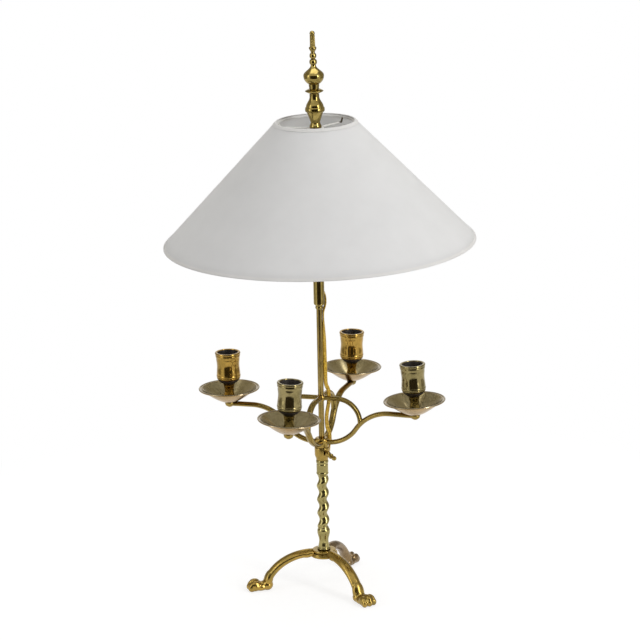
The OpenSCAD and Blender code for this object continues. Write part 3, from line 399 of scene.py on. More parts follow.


def enamelledWire():
    # steel wire of the shade's frame, white enamel, coloured dark metal near the tip of one arm
    s = wireDarkTip
    material, tree, shader, spot, _ = newMaterial("enamelledWire")
    spots = addNode(tree, "TexNoise", {"Scale": 300.0, "Detail": 3.0}, {"Vector": spot})
    tone = colourRamp(tree, spots, [(0.35, "#D9D8D3"), (0.65, "#E6E5E1")])
    azimuth = radians(s["azimuth"])
    tip = Vector((s["reach"] * cos(azimuth), s["reach"] * sin(azimuth), high("spider"))) * mm
    away = addNode(tree, "VectorMath", {"operation": "DISTANCE", 1: tip}, {0: spot})
    nearTip = addNode(tree, "Math", {"operation": "LESS_THAN", 1: s["size"] * mm}, {0: away})
    darkTip = addNode(tree, "Mix", {"data_type": "RGBA", "B": linear("#4A402C")}, {"Factor": nearTip, "A": tone})
    rough = colourRamp(tree, spots, [(0.3, 0.5), (0.7, 0.36)])
    setNode(shader, links={"Base Color": darkTip, "Roughness": rough})
    return material


# thread: how wide one is drawn, coarser than life so that it shows; passes: the share of light let through
clothSizes = {"thread": 0.9, "bump": 0.12, "passes": 0.35}


def shadeCloth(name, colour, shadow):
    # plain-woven cotton laminated on styrene: matt, a faint thread, some light passes
    s = clothSizes
    material, tree, shader, spot, output = newMaterial(name)
    slubs = addNode(tree, "TexNoise", {"Scale": 35.0, "Detail": 4.0, "Roughness": 0.6}, {"Vector": spot})
    tone = colourRamp(tree, slubs, [(0.3, shadow), (0.7, colour)])
    across = addNode(tree, "TexWave", {"Scale": 1 / (s["thread"] * mm * 20), "Distortion": 0.4, "Detail": 1.0,
                                       "bands_direction": "Z"}, {"Vector": spot})
    fuzz = addNode(tree, "TexNoise", {"Scale": 1100.0, "Detail": 2.0}, {"Vector": spot})
    thread = addNode(tree, "Mix", {"data_type": "FLOAT", "Factor": 0.5},
                     {"A": across.outputs["Fac"], "B": fuzz})
    bump = addNode(tree, "Bump", {"Strength": s["bump"], "Distance": 0.08 * mm}, {"Height": thread})
    setNode(shader, {"Roughness": 0.85, "Specular IOR Level": 0.25, "Sheen Weight": 0.15},
            {"Base Color": tone, "Normal": bump})
    through = addNode(tree, "BsdfTranslucent", links={"Color": tone})
    setNode(output, links={"Surface": addNode(tree, "MixShader", {0: s["passes"]}, {1: shader, 2: through})})
    return material


clothWhite = shadeCloth("laminatedCotton", "#EEEEEE", "#EBEBEB")
tapeWhite = shadeCloth("foldedTape", "#F2F1F0", "#EEEDEB")
wire = enamelledWire()
print("materials made")


def dress(made, material, body, *replaced, slot="aged_brass"):
    made.data.materials.clear()
    made.data.materials.append(material)
    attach(made, body)
    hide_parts(*replaced)
    return made


# tripod
hubSizes = {"rim": 17.0, "rimHeight": 5.2, "ring": 14.8, "spigot": 5.0, "recess": 9.6, "recessDeep": 4.5}


def makeHub():
    rim, edge, spigot, recess = values(hubSizes, "rim ring spigot recess")
    z0, z1 = level["hub"], level["hubTop"]
    step, floor = z0 + hubSizes["rimHeight"], z0 + hubSizes["recessDeep"]
    outline = ([(spigot, floor), (recess, floor), (recess, z0), (rim - 1, z0)]
               + bead(rim - 0.8, z0, z0 + 3.6, 0.8) + [(rim - 1.0, z0 + 3.9), (rim - 0.8, z0 + 4.2)]
               + swell(rim - 0.2, z0 + 4.4, rim - 1, step) + [(edge - 0.6, step)]
               + bead(edge - 0.8, step + 0.3, z1, 0.8) + [(spigot, z1), (spigot, floor)])
    return dress(turned("tripodHub", outline), castBrass, "stand", "tripod_hub")


legSizes = {
    "thick": 4.8, "wide": 6.8, "proud": 0.4, "start": 13.8, "root": 17.0,
    "upperBend": 64.0, "knee": 36.0, "lowerBend": 54.0, "ankle": 68.0,
    "ridge": 0.9,  # how far the crease along the leg's back stands up
    "azimuth": [187.0, 305.5, 67.0],
    "paw": [(-1.8, 12.5, (6.0, 8.0, 13.5), -16),  # ankle: how far out and up, half sizes, tilt
            (-0.2, 6.4, (7.7, 8.6, 7.2), 0),  # heel
            (8.0, 5.0, (10.0, 9.2, 5.9), 0),  # instep
            (14.8, 5.9, (9.4, 10.2, 7.0), 0)],  # pad
    "toes": (-1, 0, 1), "toeFan": 9.0, "toeBack": 1.5,
    "voxel": 0.5, "soften": 8,
}


def makeLeg(index, node):
    s = legSizes
    root, upper, lower, start = values(s, "root upperBend lowerBend start")
    z = level["hubTop"] + s["proud"] - s["thick"]
    kneeSin, kneeCos = sin(radians(s["knee"])), cos(radians(s["knee"]))
    kneeX, kneeZ = root + upper * kneeSin, z - upper * (1 - kneeCos)
    ankleX = kneeX + lower * (sin(radians(s["ankle"])) - kneeSin)
    ring(s["thick"], s["wide"], (start, z), s["ridge"])
    runTube(root - start, 0)
    bendTube((root, z - upper), s["knee"], up=False)
    bendTube((kneeX - lower * kneeSin, kneeZ - lower * kneeCos), s["ankle"] - s["knee"], up=False)
    runTube(1.0, -2.4)
    parts = [endTube(node), lump((22.5, 0, z - 0.9), (9.5, 7.4, 4.9))]  # the lump is the shoulder at the hub
    parts += [lump((ankleX + out, 0, up), radii, (0, tilt, 0)) for out, up, radii, tilt in s["paw"]]
    for side in s["toes"]:
        fan, back = s["toeFan"] * side, s["toeBack"] * abs(side)
        parts.append(lump((ankleX + 16.6 - back, 6.0 * side, 8.2 - back), (7.6, 3.9, 6.4), (0, 8, fan)))
        parts.append(lump((ankleX + 20.8 - back, 6.5 * side, 5.0 - 0.2 * back), (5.0, 3.7, 4.9), (0, 0, fan)))
    leg = melt(join(node, *parts), s["voxel"], s["soften"])
    for v in leg.data.vertices:
        v.co.z = max(v.co.z, 0.0)
    settle(leg, turnBy(s["azimuth"][index]))
    # the back leg gets the shaded copy of the brass: painted shade
    return dress(leg, shadedBrass if node == "leg_back" else castBrass, "stand", node)


makeHub()
for legIndex, legNode in enumerate(["leg_left", "leg_front", "leg_back"]):
    makeLeg(legIndex, legNode)
print("tripod made")


# column and rod
columnSizes = {
    "footRing": 8.2, "neck": 5.9, "bulb": 8.0, "footHeight": 27.5,
    "twist": 6.3, "offset": 1.35, "pitch": 17.75, "twistHeight": 71.5, "phase": 131.0,
    "head": 7.3, "headHeight": 13.5, "crown": 7.8, "spigot": 5.0,
    "voxel": 0.38, "soften": 4,
    "slotWide": 5.9, "slotTall": 3.2, "slotAzimuth": 80.0,
}


def makeColumn():
    s = columnSizes
    neck, bulb, twist, head, crown, spigot = values(s, "neck bulb twist head crown spigot")
    z0, foot, top = level["columnFoot"], level["hubTop"], level["columnTop"]
    footEdge, ridge = s["footRing"] - 1.2, twist + s["offset"]
    neckZ, bulbZ = foot + s["footHeight"] * 0.42, foot + s["footHeight"] * 0.86
    twistZ = foot + s["footHeight"]
    headZ = twistZ + s["twistHeight"]
    crownZ = headZ + s["headHeight"]
    lowOutline = ([(0, z0), (spigot, z0), (spigot, foot)] + bead(footEdge, foot, foot + 2.6, 1.2)
                  + ogee(footEdge, foot + 2.6, neck, neckZ) + ogee(neck, neckZ, bulb, bulbZ)
                  + ogee(bulb, bulbZ + 1, twist - 0.3, twistZ + 2.6) + [(0, twistZ + 2.6)])
    topOutline = ([(0, headZ - 2.2)] + ogee(twist - 0.3, headZ - 2.2, ridge, headZ + 0.8)
                  + ogee(ridge, headZ + 1, head, headZ + 3) + [(head, crownZ - 0.8), (head - 0.7, crownZ)]
                  + bead(crown - 1.2, crownZ, top, 1.2) + [(0, top)])
    lower = turned("columnFoot", lowOutline, edge=0)
    upper = turned("columnHead", topOutline, edge=0)
    clearSelection()
    bpy.ops.mesh.primitive_circle_add(vertices=56, radius=twist * mm, fill_type="NGON",
                                      location=(s["offset"] * mm, 0, 0))
    rope = settle(named("columnRope"))
    rise = s["twistHeight"] + 4
    turns = rise / s["pitch"]
    steps = int(44 * turns)
    finishWith(rope, "SCREW", axis="Z", angle=2 * pi * turns, screw_offset=rise * mm,
               steps=steps, render_steps=steps)
    editAll()
    closeEdit()
    fillEnds(rope)
    settle(rope, moveBy(0, 0, twistZ - 2) @ turnBy(s["phase"] - 720 / s["pitch"]))
    column = melt(join("twistedColumn", lower, rope, upper), s["voxel"], s["soften"])
    cutSlot(column, (head * 2, s["slotWide"], s["slotTall"]),
            turnBy(s["slotAzimuth"]) @ moveBy(head, 0, (headZ + crownZ) / 2 - 0.5) @ turnBy(-45, "Y"), 50)
    return dress(column, columnBrass, "stand", "twisted_column")


def fillEnds(made):
    # the two open ends of a tube are closed with flat faces
    pick(made)
    bpy.ops.object.mode_set(mode="EDIT")
    bpy.ops.mesh.select_all(action="DESELECT")
    bpy.ops.mesh.select_non_manifold(extend=False, use_wire=False, use_multi_face=False)
    bpy.ops.mesh.edge_face_add()
    bpy.ops.mesh.select_all(action="SELECT")
    bpy.ops.mesh.normals_make_consistent(inside=False)
    bpy.ops.object.mode_set(mode="OBJECT")


rodSizes = {"radius": 3.6, "tip": 2.9}


def makeRod():
    radius, tip = values(rodSizes, "radius tip")
    z0, z1, step = level["rodFoot"], high("centre_rod"), level["seat"] - 1
    outline = [(0, z0), (radius, z0), (radius, step), (tip, step), (tip, z1), (0, z1)]
    return dress(turned("centreRod", outline, 64), rodBrass, "stand", "centre_rod")


makeColumn()
makeRod()
print("column and rod made")


# clamp
bossSizes = {"radius": 9.25, "taper": 7.5, "crown": 7.8, "bore": 3.66, "slit": 1.0, "slitHeight": 9.0,
             "slitAzimuth": -74.0}


def makeBoss():
    s = bossSizes
    radius, bore, deep = values(s, "radius bore slitHeight")
    z0, z1 = level["columnTop"], level["bossTop"]
    outline = ([(bore, z0), (s["crown"] - 0.6, z0)] + ogee(s["crown"] - 0.4, z0, radius, z0 + s["taper"])
               + [(radius, z1 - 1)] + swell(radius, z1 - 1, radius - 1, z1, 5) + [(bore, z1), (bore, z0)])
    boss = turned("clampBoss", outline)
    cutSlot(boss, (radius + 3, s["slit"], deep + 2),
            turnBy(s["slitAzimuth"]) @ moveBy((radius + 3) / 2, 0, z1 - deep / 2 + 1))
    return dress(boss, castBrass, "clamp", "clamp_boss")


screwSizes = {"shank": 2.0, "start": 10.65, "reach": 19.1}


def makeThumbscrew():
    s = screwSizes
    joint = jointByName["thumbscrew_turn"]
    placement = Matrix.Translation(Vector(joint["pos_m"])) @ tiltTo(joint["axis"])
    a, e = s["start"], s["start"] + s["reach"]
    outline = ([(0, 4.2), (s["shank"], 4.2), (s["shank"], a), (2.6, a)] + bead(2.6, a, a + 5, 1.0)
               + ogee(2.6, a + 5, 1.9, a + 7.5) + bead(2.0, a + 7.5, a + 11, 1.4)
               + bead(1.7, a + 11, a + 12.5, 0.3) + ogee(1.9, a + 12.5, 2.9, a + 15.5)
               + swell(2.9, a + 15.5, 0.3, e) + [(0, e)])
    screw = turned("thumbscrew", outline, 48, placement=placement)
    return dress(screw, castBrass, "thumbscrew", "thumbscrew")


makeBoss()
makeThumbscrew()
print("clamp made")


# candle ring
ringSizes = {"lower": 8.6, "upper": 6.0, "bore": 3.66, "upperHeight": 6.4,
             "play": 0.03}  # the collar turns this far above the clamp


def makeCollars():
    lower, upper, bore = values(ringSizes, "lower upper bore")
    z0, z1 = level["bossTop"] + ringSizes["play"], level["collarTop"]
    outline = ([(bore, z0), (lower - 0.3, z0), (lower, z0 + 0.5), (lower, z1 - 2)]
               + swell(lower, z1 - 2, lower - 2.4, z1) + [(bore, z1), (bore, z0)])
    dress(turned("lowerCollar", outline), castBrass, "cluster", "lower_collar")
    half = ringSizes["upperHeight"] / 2
    z0, z1 = level["bow"] - half, level["bow"] + half
    outline = [(bore, z0)] + bead(upper - 1.2, z0, z1, 1.2) + [(bore, z1), (bore, z0)]
    dress(turned("upperCollar", outline), castBrass, "cluster", "upper_collar")


armSizes = {
    "azimuth": [-19.7, 71.2, 165.2, 250.2], "lean": [-2.6, 1.2, -0.8, 3.0],
    "reach": 119.7, "beyond": [1.9, 2.9, -2.1, -2.8],
    "thick": 2.9, "wide": 4.2, "root": 7.6, "rootAboveClamp": 6.4, "rise": 43.0,
    "lowerBend": 45.0, "upperBend": 52.8,
    "bowThick": 2.8, "bowWide": 4.0, "bowBend": 28.3, "bowStart": 4.6, "bowCentre": 22.0,
    "ridge": 0.35, "eye": 6.3, "eyeHeight": 6.3,
    "voxel": 0.42, "soften": 6,
}


def eyeLevel():
    return level["bossTop"] + armSizes["rootAboveClamp"] + armSizes["rise"]


def candleReach(index):
    return armSizes["reach"] + armSizes["beyond"][index]


def seatPlacement(index):
    # a candle's own frame: its arm's eye, leaning as the candle does
    s = armSizes
    azimuth = radians(s["azimuth"][index])
    far = candleReach(index)
    spot = Vector((far * cos(azimuth), far * sin(azimuth), eyeLevel()))
    return Matrix.Translation(spot * mm) @ turnBy(s["lean"][index], "Y")


def bowSweep(flatX):
    # how far a bow bends before its middle line meets that of the arm's upper curve
    s = armSizes
    dx, dz = flatX - s["bowCentre"], eyeLevel() - s["upperBend"] - level["bow"] + s["bowBend"]
    span = hypot(dx, dz)
    corner = (span * span + s["bowBend"] ** 2 - s["upperBend"] ** 2) / (2 * span * s["bowBend"])
    return 90 + degrees(-atan2(dz, dx) - acos(corner))


def makeArm(index):
    s = armSizes
    root, lower, upper, start, centre, eye = values(s, "root lowerBend upperBend bowStart bowCentre eye")
    name, bowZ = cornerNames[index], level["bow"]
    rootZ = level["bossTop"] + s["rootAboveClamp"]
    turn = degrees(acos(1 - s["rise"] / (lower + upper)))
    flatX = root + (lower + upper) * sin(radians(turn))
    ring(s["thick"], s["wide"], (root - 1.5, rootZ), s["ridge"])
    runTube(1.5, 0)
    bendTube((root, rootZ + lower), turn)
    bendTube((flatX, eyeLevel() - upper), turn, up=False)
    runTube(candleReach(index) - 1 - flatX, 0)
    arm = endTube("armTube")
    ring(s["bowThick"], s["bowWide"], (start, bowZ), s["ridge"])
    runTube(centre - start, 0)
    bendTube((centre, bowZ - s["bowBend"]), bowSweep(flatX), up=False, steps=32)
    bow = endTube("bowTube")
    for tube in (arm, bow):
        settle(tube, turnBy(s["azimuth"][index]))
    half = s["eyeHeight"] / 2
    outline = [(0, -half), (eye - 2.4, -half), (eye - 0.9, -half + 1.2), (eye, half - 1.6), (eye - 0.8, half),
               (0, half)]
    whole = join("arm_" + name, arm, bow, turned("armEye", outline, 48, 0, seatPlacement(index)))
    melt(whole, s["voxel"], s["soften"])
    return dress(whole, armBrass, "cluster", "arm_" + name, "bow_" + name)


panSizes = {"rim": 37.9, "height": 17.8, "lip": 4.0, "wall": 1.2, "roll": 0.9, "seat": 8.5, "hollow": 1.28}


def makePan(index):
    s = panSizes
    name, placement = "pan_" + cornerNames[index], seatPlacement(index)
    seat, wall, roll = values(s, "seat wall roll")
    z = armSizes["eyeHeight"] / 2
    bowl, edge = s["rim"] - s["lip"], z + s["height"]
    rise, run = s["height"] - 1.6, bowl - seat
    shares = [k / 16 for k in range(17)]
    outer = [(seat + run * t, z + rise * t ** s["hollow"]) for t in shares]
    inner = [(r, h + wall) for r, h in reversed(outer)]
    rolled = [(s["rim"] - roll + roll * cos(radians(a)), edge - roll + roll * sin(radians(a)))
              for a in range(-80, 150, 12)]
    step = [(bowl + 0.6, edge - 1.0), (bowl + 0.1, edge - 0.65), (bowl - 0.5, edge - 0.8)]
    outline = [(0, z)] + outer + rolled + step + inner + [(0, z + wall)]
    pan = turned(name, outline, 128, 0.12, placement)
    dress(pan, panBrass, "cluster", name, slot="pan_brass")
    pan.data.materials.append(panUnderReflection)
    pan.data.materials.append(panRimHighlight)
    inverse = placement.inverted()
    for face in pan.data.polygons:
        spot = inverse @ face.center
        # faces pointing down get the painted reflection of the table
        if (inverse.to_3x3() @ face.normal).z < -0.02:
            face.material_index = 1
        # faces at the rim that do not point down get the painted highlight
        elif hypot(spot.x, spot.y) > (bowl - 0.4) * mm:
            face.material_index = 2
    return pan


cupSizes = {"mouth": 15.8, "bore": 12.5, "boreDepth": 30.0, "height": 62.3, "waist": 14.0, "band": 15.0,
            "stemHeight": 20.5, "stem": 5.7, "foot": 7.7}


def makeCup(index):
    s = cupSizes
    foot, stem, band, waist, mouth, bore, top = values(s, "foot stem band waist mouth bore height")
    name = "cup_" + cornerNames[index]
    z = armSizes["eyeHeight"] / 2 + panSizes["wall"]
    bowl, lip, floor = s["stemHeight"], top - 6, top - s["boreDepth"]
    under = bowl + 7
    waistZ = under + 17.5
    rel = ([(0, 0), (foot, 0)] + bead(foot - 0.8, 1.4, 5, 0.8) + ogee(foot - 1, 5.4, stem, 12)
           + ogee(stem, 14, stem + 1, bowl) + ogee(stem + 1.2, bowl, band - 2.2, under - 0.6)
           + flare(band - 2.2, under, band - 0.4, under + 2.4) + [(band - 0.8, under + 2.8)]
           + bead(band - 0.3, under + 3.2, under + 6, 0.3) + ogee(band - 0.3, under + 6.4, waist, waistZ)
           + ogee(waist, waistZ + 0.5, waist + 0.7, lip - 1.2) + [(waist + 1.1, lip + 0.2)]
           + bead(mouth - 0.6, lip + 0.5, lip + 3.0, 0.15) + bead(mouth - 0.7, lip + 3.0, top, 0.7)
           + swell(bore + 0.6, top - 0.1, bore, top - 0.8, 4) + [(bore, floor), (0, floor)])
    cup = turned(name, [(r, z + h) for r, h in rel], 112, 0.15, seatPlacement(index))
    dress(cup, cupWarmBrass if cornerNames[index] in ("back", "left") else cupBrass, "cluster", name)
    blackenBore(cup, index)
    return cup


def blackenBore(cup, index):
    # the bore is coloured almost black
    cup.data.materials.append(boreBlack)
    inverse = seatPlacement(index).inverted()
    z = (armSizes["eyeHeight"] / 2 + panSizes["wall"] + cupSizes["height"]) * mm
    for face in cup.data.polygons:
        spot = inverse @ face.center
        if hypot(spot.x, spot.y) < (cupSizes["bore"] + 0.3) * mm and spot.z > z - 40 * mm:
            face.material_index = 1


headSizes = {"radius": 3.2, "height": 1.3, "slot": 0.7}


def makeCupScrew(index):
    radius, height, slot = values(headSizes, "radius height slot")
    name, placement = cornerNames[index], seatPlacement(index)
    z = -armSizes["eyeHeight"] / 2
    dome = [(radius * sin(radians(a)), z - height * cos(radians(a))) for a in range(9, 91, 9)]
    outline = [(0, z - height)] + dome + [(radius, z), (0, z)]
    head = turned("cupScrew_" + name, outline, 48, 0, placement)
    cutSlot(head, (10, slot, 0.9), placement @ moveBy(0, 0, z - height) @ turnBy(25 + 40 * index))
    return dress(head, castBrass, "cluster", "cup_screw_" + name)


makeCollars()
for corner in range(4):
    makeArm(corner)
    makePan(corner)
    makeCup(corner)
    makeCupScrew(corner)
print("candle ring made")


# flex: two cores side by side in clear plastic
flexSizes = {"wide": 5.2, "thick": 2.5, "waist": 0.62, "sides": 28, "finer": 6,
             "upperEnd": 258.0, "lowerStart": 185.0}


def flexRoute():
    # radius, direction, height and turn of the flat side, as the solid flex has them
    rod, ferrule, sleeve, upper, lower, boss, crown, head, bore = 3.6, 5.5, 6.7, 6.0, 8.6, 9.25, 7.8, 7.3, 3.6
    az, into = 22.0, 80.0
    foot, holder, bow, collar = level["sleeveFoot"], level["sleeveTop"], level["bow"], level["collarTop"]
    bossTop, top, hubTop = level["bossTop"], level["columnTop"], level["hubTop"]
    between = (bow - 6.4 + collar) / 2
    crownZ = top - 5
    entry = crownZ - columnSizes["headHeight"] / 2 - 0.5
    return [
        (rod + 1.3, az, holder + 1, 0), (rod + 1.3, az, holder - 25.35, 0), (rod + 1.3, az, foot + 34, 0),
        (rod + 1.3, az, foot + 23, 0), (rod + 2, az, foot + 15.6, 0), (sleeve + 1, az, foot + 8.6, 0),
        (sleeve + 1.5, az, foot + 0.6, 0), (ferrule + 1.5, az, foot - 5.2, 3),
        (rod + 1.75, az, foot - 10.5, 8), (rod + 1.5, az - 2, foot - 18, 20),
        (rod + 2.1, az - 6, (2 * foot + bow) / 3 - 4, 60),
        (rod + 2.4, az - 8, (foot + 2 * bow) / 3 + 6, 74), (rod + 2.6, az - 7, bow + 30, 78),
        (rod + 3.2, az - 3, bow + 17, 80), (upper + 4.2, az + 3, bow + 8.5, 80), (upper + 5, az + 3, bow, 90),
        (upper + 4.2, az + 3, bow - 8.5, 88), (rod + 3.8, az + 3, between + 5, 86),
        (rod + 4, az + 3, between - 9, 86), (lower + 1.9, az + 4, collar + 5, 84),
        (lower + 2.8, az + 5, collar - 3.5, 76), (lower + 2.9, az + 7, bossTop + 1.5, 52),
        (boss + 2, az + 17, bossTop - 5.5, 16), (boss + 1.9, az + 32, bossTop - 11, 0),
        (boss + 1.5, az + 46, top + 0.5, 0), (crown + 1.7, into - 3, crownZ - 0.5, 0),
        (head + 2, into, entry + 2.4, 0), (head, into, entry, 0), (bore, into, entry - head + bore, 0),
        (1.2, into, entry - head - 1, 0), (0, into, entry - head - 9, 0), (0, into, entry - head - 20, 0),
        (0, into, (hubTop + 27.5 + entry) / 2 - 10, 0), (0, into, hubTop + 6, 0),
        (0, into, level["columnFoot"], 0)]


def between4(a, b, c, d, t):
    # the station a share t of the way from b to c, on a smooth curve through all four
    return [0.5 * (2 * q + (r - p) * t + (2 * p - 5 * q + 4 * r - u) * t * t
                   + (3 * q - p - 3 * r + u) * t ** 3) for p, q, r, u in zip(a, b, c, d)]


def flexPoint(station):
    a = radians(station[1])
    return Vector((station[0] * cos(a), station[0] * sin(a), station[2]))


def flexSection(s):
    # an outline like a figure 8, from two round cores
    points = []
    for k in range(s["sides"]):
        a = 2 * pi * k / s["sides"]
        pinch = 1 - (1 - s["waist"]) * abs(sin(a)) ** 3 * exp(-(cos(a) / 0.42) ** 2)
        points.append((s["wide"] / 2 * cos(a), s["thick"] / 2 * (abs(sin(a)) ** 0.72)
                       * copysign(1, sin(a)) * pinch))
    return points


def makeFlex():
    s = flexSizes
    route = flexRoute()
    stations = []
    for i in range(len(route) - 1):
        ends = route[max(i - 1, 0)], route[i], route[i + 1], route[min(i + 2, len(route) - 1)]
        stations += [between4(*ends, k / s["finer"]) for k in range(s["finer"])]
    stations.append(list(route[-1]))
    section = flexSection(s)
    rings = []
    for i, station in enumerate(stations):
        ahead = flexPoint(stations[min(i + 1, len(stations) - 1)])
        behind = flexPoint(stations[max(i - 1, 0)])
        along = (ahead - behind).normalized()
        a, turn = radians(station[1]), radians(station[3])
        aim = Vector((-sin(a), cos(a), 0)) * cos(turn) + Vector((cos(a), sin(a), 0)) * sin(turn)
        across = (aim - along * aim.dot(along)).normalized()
        up = along.cross(across)
        rings.append([(flexPoint(station) + across * x + up * y) * mm for x, y in section])
    first = next(i for i, st in enumerate(stations) if st[2] <= s["upperEnd"])
    last = next(i for i, st in enumerate(stations) if st[2] <= s["lowerStart"])
    spans = {"flexUpper": (0, first), "flexMiddle": (first, last), "flexLower": (last, len(rings) - 1)}
    made = {name: sweep(name, rings[a:b + 1]) for name, (a, b) in spans.items()}
    for piece in made.values():
        smoothEdges(piece, 80)
        piece.data.materials.append(flexGold)
        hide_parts("lead")
    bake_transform(made["flexUpper"])
    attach(made["flexMiddle"], "clamp")
    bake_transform(made["flexLower"])


def sweep(name, rings):
    mesh = bmesh.new()
    laid = [[mesh.verts.new(p) for p in one] for one in rings]
    count = len(rings[0])
    for one, other in zip(laid, laid[1:]):
        for k in range(count):
            mesh.faces.new((one[k], other[k], other[(k + 1) % count], one[(k + 1) % count]))
    mesh.faces.new(laid[0])
    mesh.faces.new(reversed(laid[-1]))
    bmesh.ops.recalc_face_normals(mesh, faces=mesh.faces)
    data = bpy.data.meshes.new(name)
    mesh.to_mesh(data)
    mesh.free()
    made = bpy.data.objects.new(name, data)
    bpy.context.scene.collection.objects.link(made)
    return made


makeFlex()
print("flex made")


# lamp holder
sleeveSizes = {"radius": 6.7, "wall": 0.5, "slotWide": 6.2, "slotTall": 16.0, "slotAzimuth": 22.0,
               "ferrule": 5.5, "ferruleHeight": 6.8, "rod": 3.6}


def makeSleeve():
    s = sleeveSizes
    radius, ferrule, rod, h = values(s, "radius ferrule rod ferruleHeight")
    z0, z1 = level["sleeveFoot"], level["sleeveTop"]
    inside, reach = radius - s["wall"], radius + 2
    outline = [(inside, z0), (radius - 0.15, z0), (radius, z0 + 0.2), (radius, z1), (inside, z1),
               (inside, z0)]
    sleeve = turned("holderSleeve", outline, 80, 0)
    cutSlot(sleeve, (reach, s["slotWide"], s["slotTall"]),
            turnBy(s["slotAzimuth"]) @ moveBy(reach / 2, 0, z0 + 4.5 + s["slotTall"] / 2))
    dress(sleeve, brightBrass, "stand", "holder_sleeve", slot="bright_brass")
    outline = ([(rod, z0 - h)] + bead(ferrule - 1.4, z0 - h, z0 - 3.4, 0.7)
               + ogee(ferrule - 1.2, z0 - 3.4, ferrule, z0 - 1.2)
               + [(radius - 0.3, z0 - 1), (radius - 0.3, z0), (inside, z0), (inside, z0 + 4), (rod, z0 + 4),
                  (rod, z0 - h)])
    dress(turned("sleeveFerrule", outline, 80), brightBrass, "stand", "sleeve_ferrule", slot="bright_brass")


makeSleeve()
print("sleeve made")


# shade
shadeSizes = {"bottom": 190.5, "top": 49.0, "height": 148.5, "drop": 9.6, "cloth": 1.0, "tape": 0.5,
              "tapeWide": 4.0, "wire": 1.4}


def foldedStrip(path, thick):
    # a tape of even thickness along a path of (radius, height), as a closed outline
    outer, inner = [], []
    for i, point in enumerate(path):
        before, after = path[max(i - 1, 0)], path[min(i + 1, len(path) - 1)]
        dx, dz = after[0] - before[0], after[1] - before[1]
        length = hypot(dx, dz)
        outer.append((point[0] + dz / length * thick / 2, point[1] - dx / length * thick / 2))
        inner.append((point[0] - dz / length * thick / 2, point[1] + dx / length * thick / 2))
    return outer + inner[::-1] + [outer[0]]


def makeShade():
    s = shadeSizes
    top = level["seat"] + s["drop"]
    bottom = top - s["height"]
    slope = (s["bottom"] - s["top"]) / s["height"]
    lean = atan(slope)
    tape, cloth = s["tape"] / cos(lean), s["cloth"] / cos(lean)

    def coneRadius(z):
        return s["top"] + (top - z) * slope

    heights = [bottom + (top - bottom) * k / 24 for k in range(25)]
    outside = [(coneRadius(z) - tape, z) for z in heights]
    inside = [(coneRadius(z) - tape - cloth, z) for z in reversed(heights)]
    skin = turned("shadeSkin", outside + inside + [outside[0]], 192, 0, leanPlacement)
    dress(skin, clothWhite, "shade", "shade_skin", slot="shade_cloth")
    # each tape is folded over its edge and round the ring wire inside
    hem = s["tapeWide"] * cos(lean)
    wireSpan = s["wire"] / cos(lean) + 0.05
    hold = s["wire"] + s["tape"] / 2 + 0.02
    for name, node, edge, sign, turns in (("topTape", "top_trim", top, -1, range(62, 270, 13)),
                                          ("bottomTape", "bottom_trim", bottom, 1, range(300, 120, -13))):
        ringZ = edge + sign * 3
        ringX = coneRadius(ringZ) - tape - cloth - wireSpan
        border, tuck = edge + sign * hem, edge + sign * 0.5
        lip = [(coneRadius(border) - tape * 0.5, border), (coneRadius(tuck) - tape * 0.5, tuck),
               (coneRadius(edge) - tape * 0.9, edge - sign * 0.02),
               (coneRadius(edge) - tape - cloth * 0.8, edge + sign * 0.02)]
        fold = [(ringX + hold * cos(radians(a)), ringZ + hold * sin(radians(a))) for a in turns]
        outline = foldedStrip(lip + fold, s["tape"] * 0.96)
        dress(turned(name, outline, 192, 0, leanPlacement), tapeWhite, "shade", node, slot="shade_trim")


makeShade()
print("shade made")


# finial
finialSizes = {"foot": 7.4, "washer": 1.6, "belt": 11.9, "disc": 11.2, "discHalf": 3.0, "vase": 44.6,
               "neck": 5.9, "onion": 12.4, "onionFoot": 6.4, "onionHeight": 22.8, "onionNeck": 5.4,
               "spire": 41.2, "reeds": 10, "tipBall": 3.15}


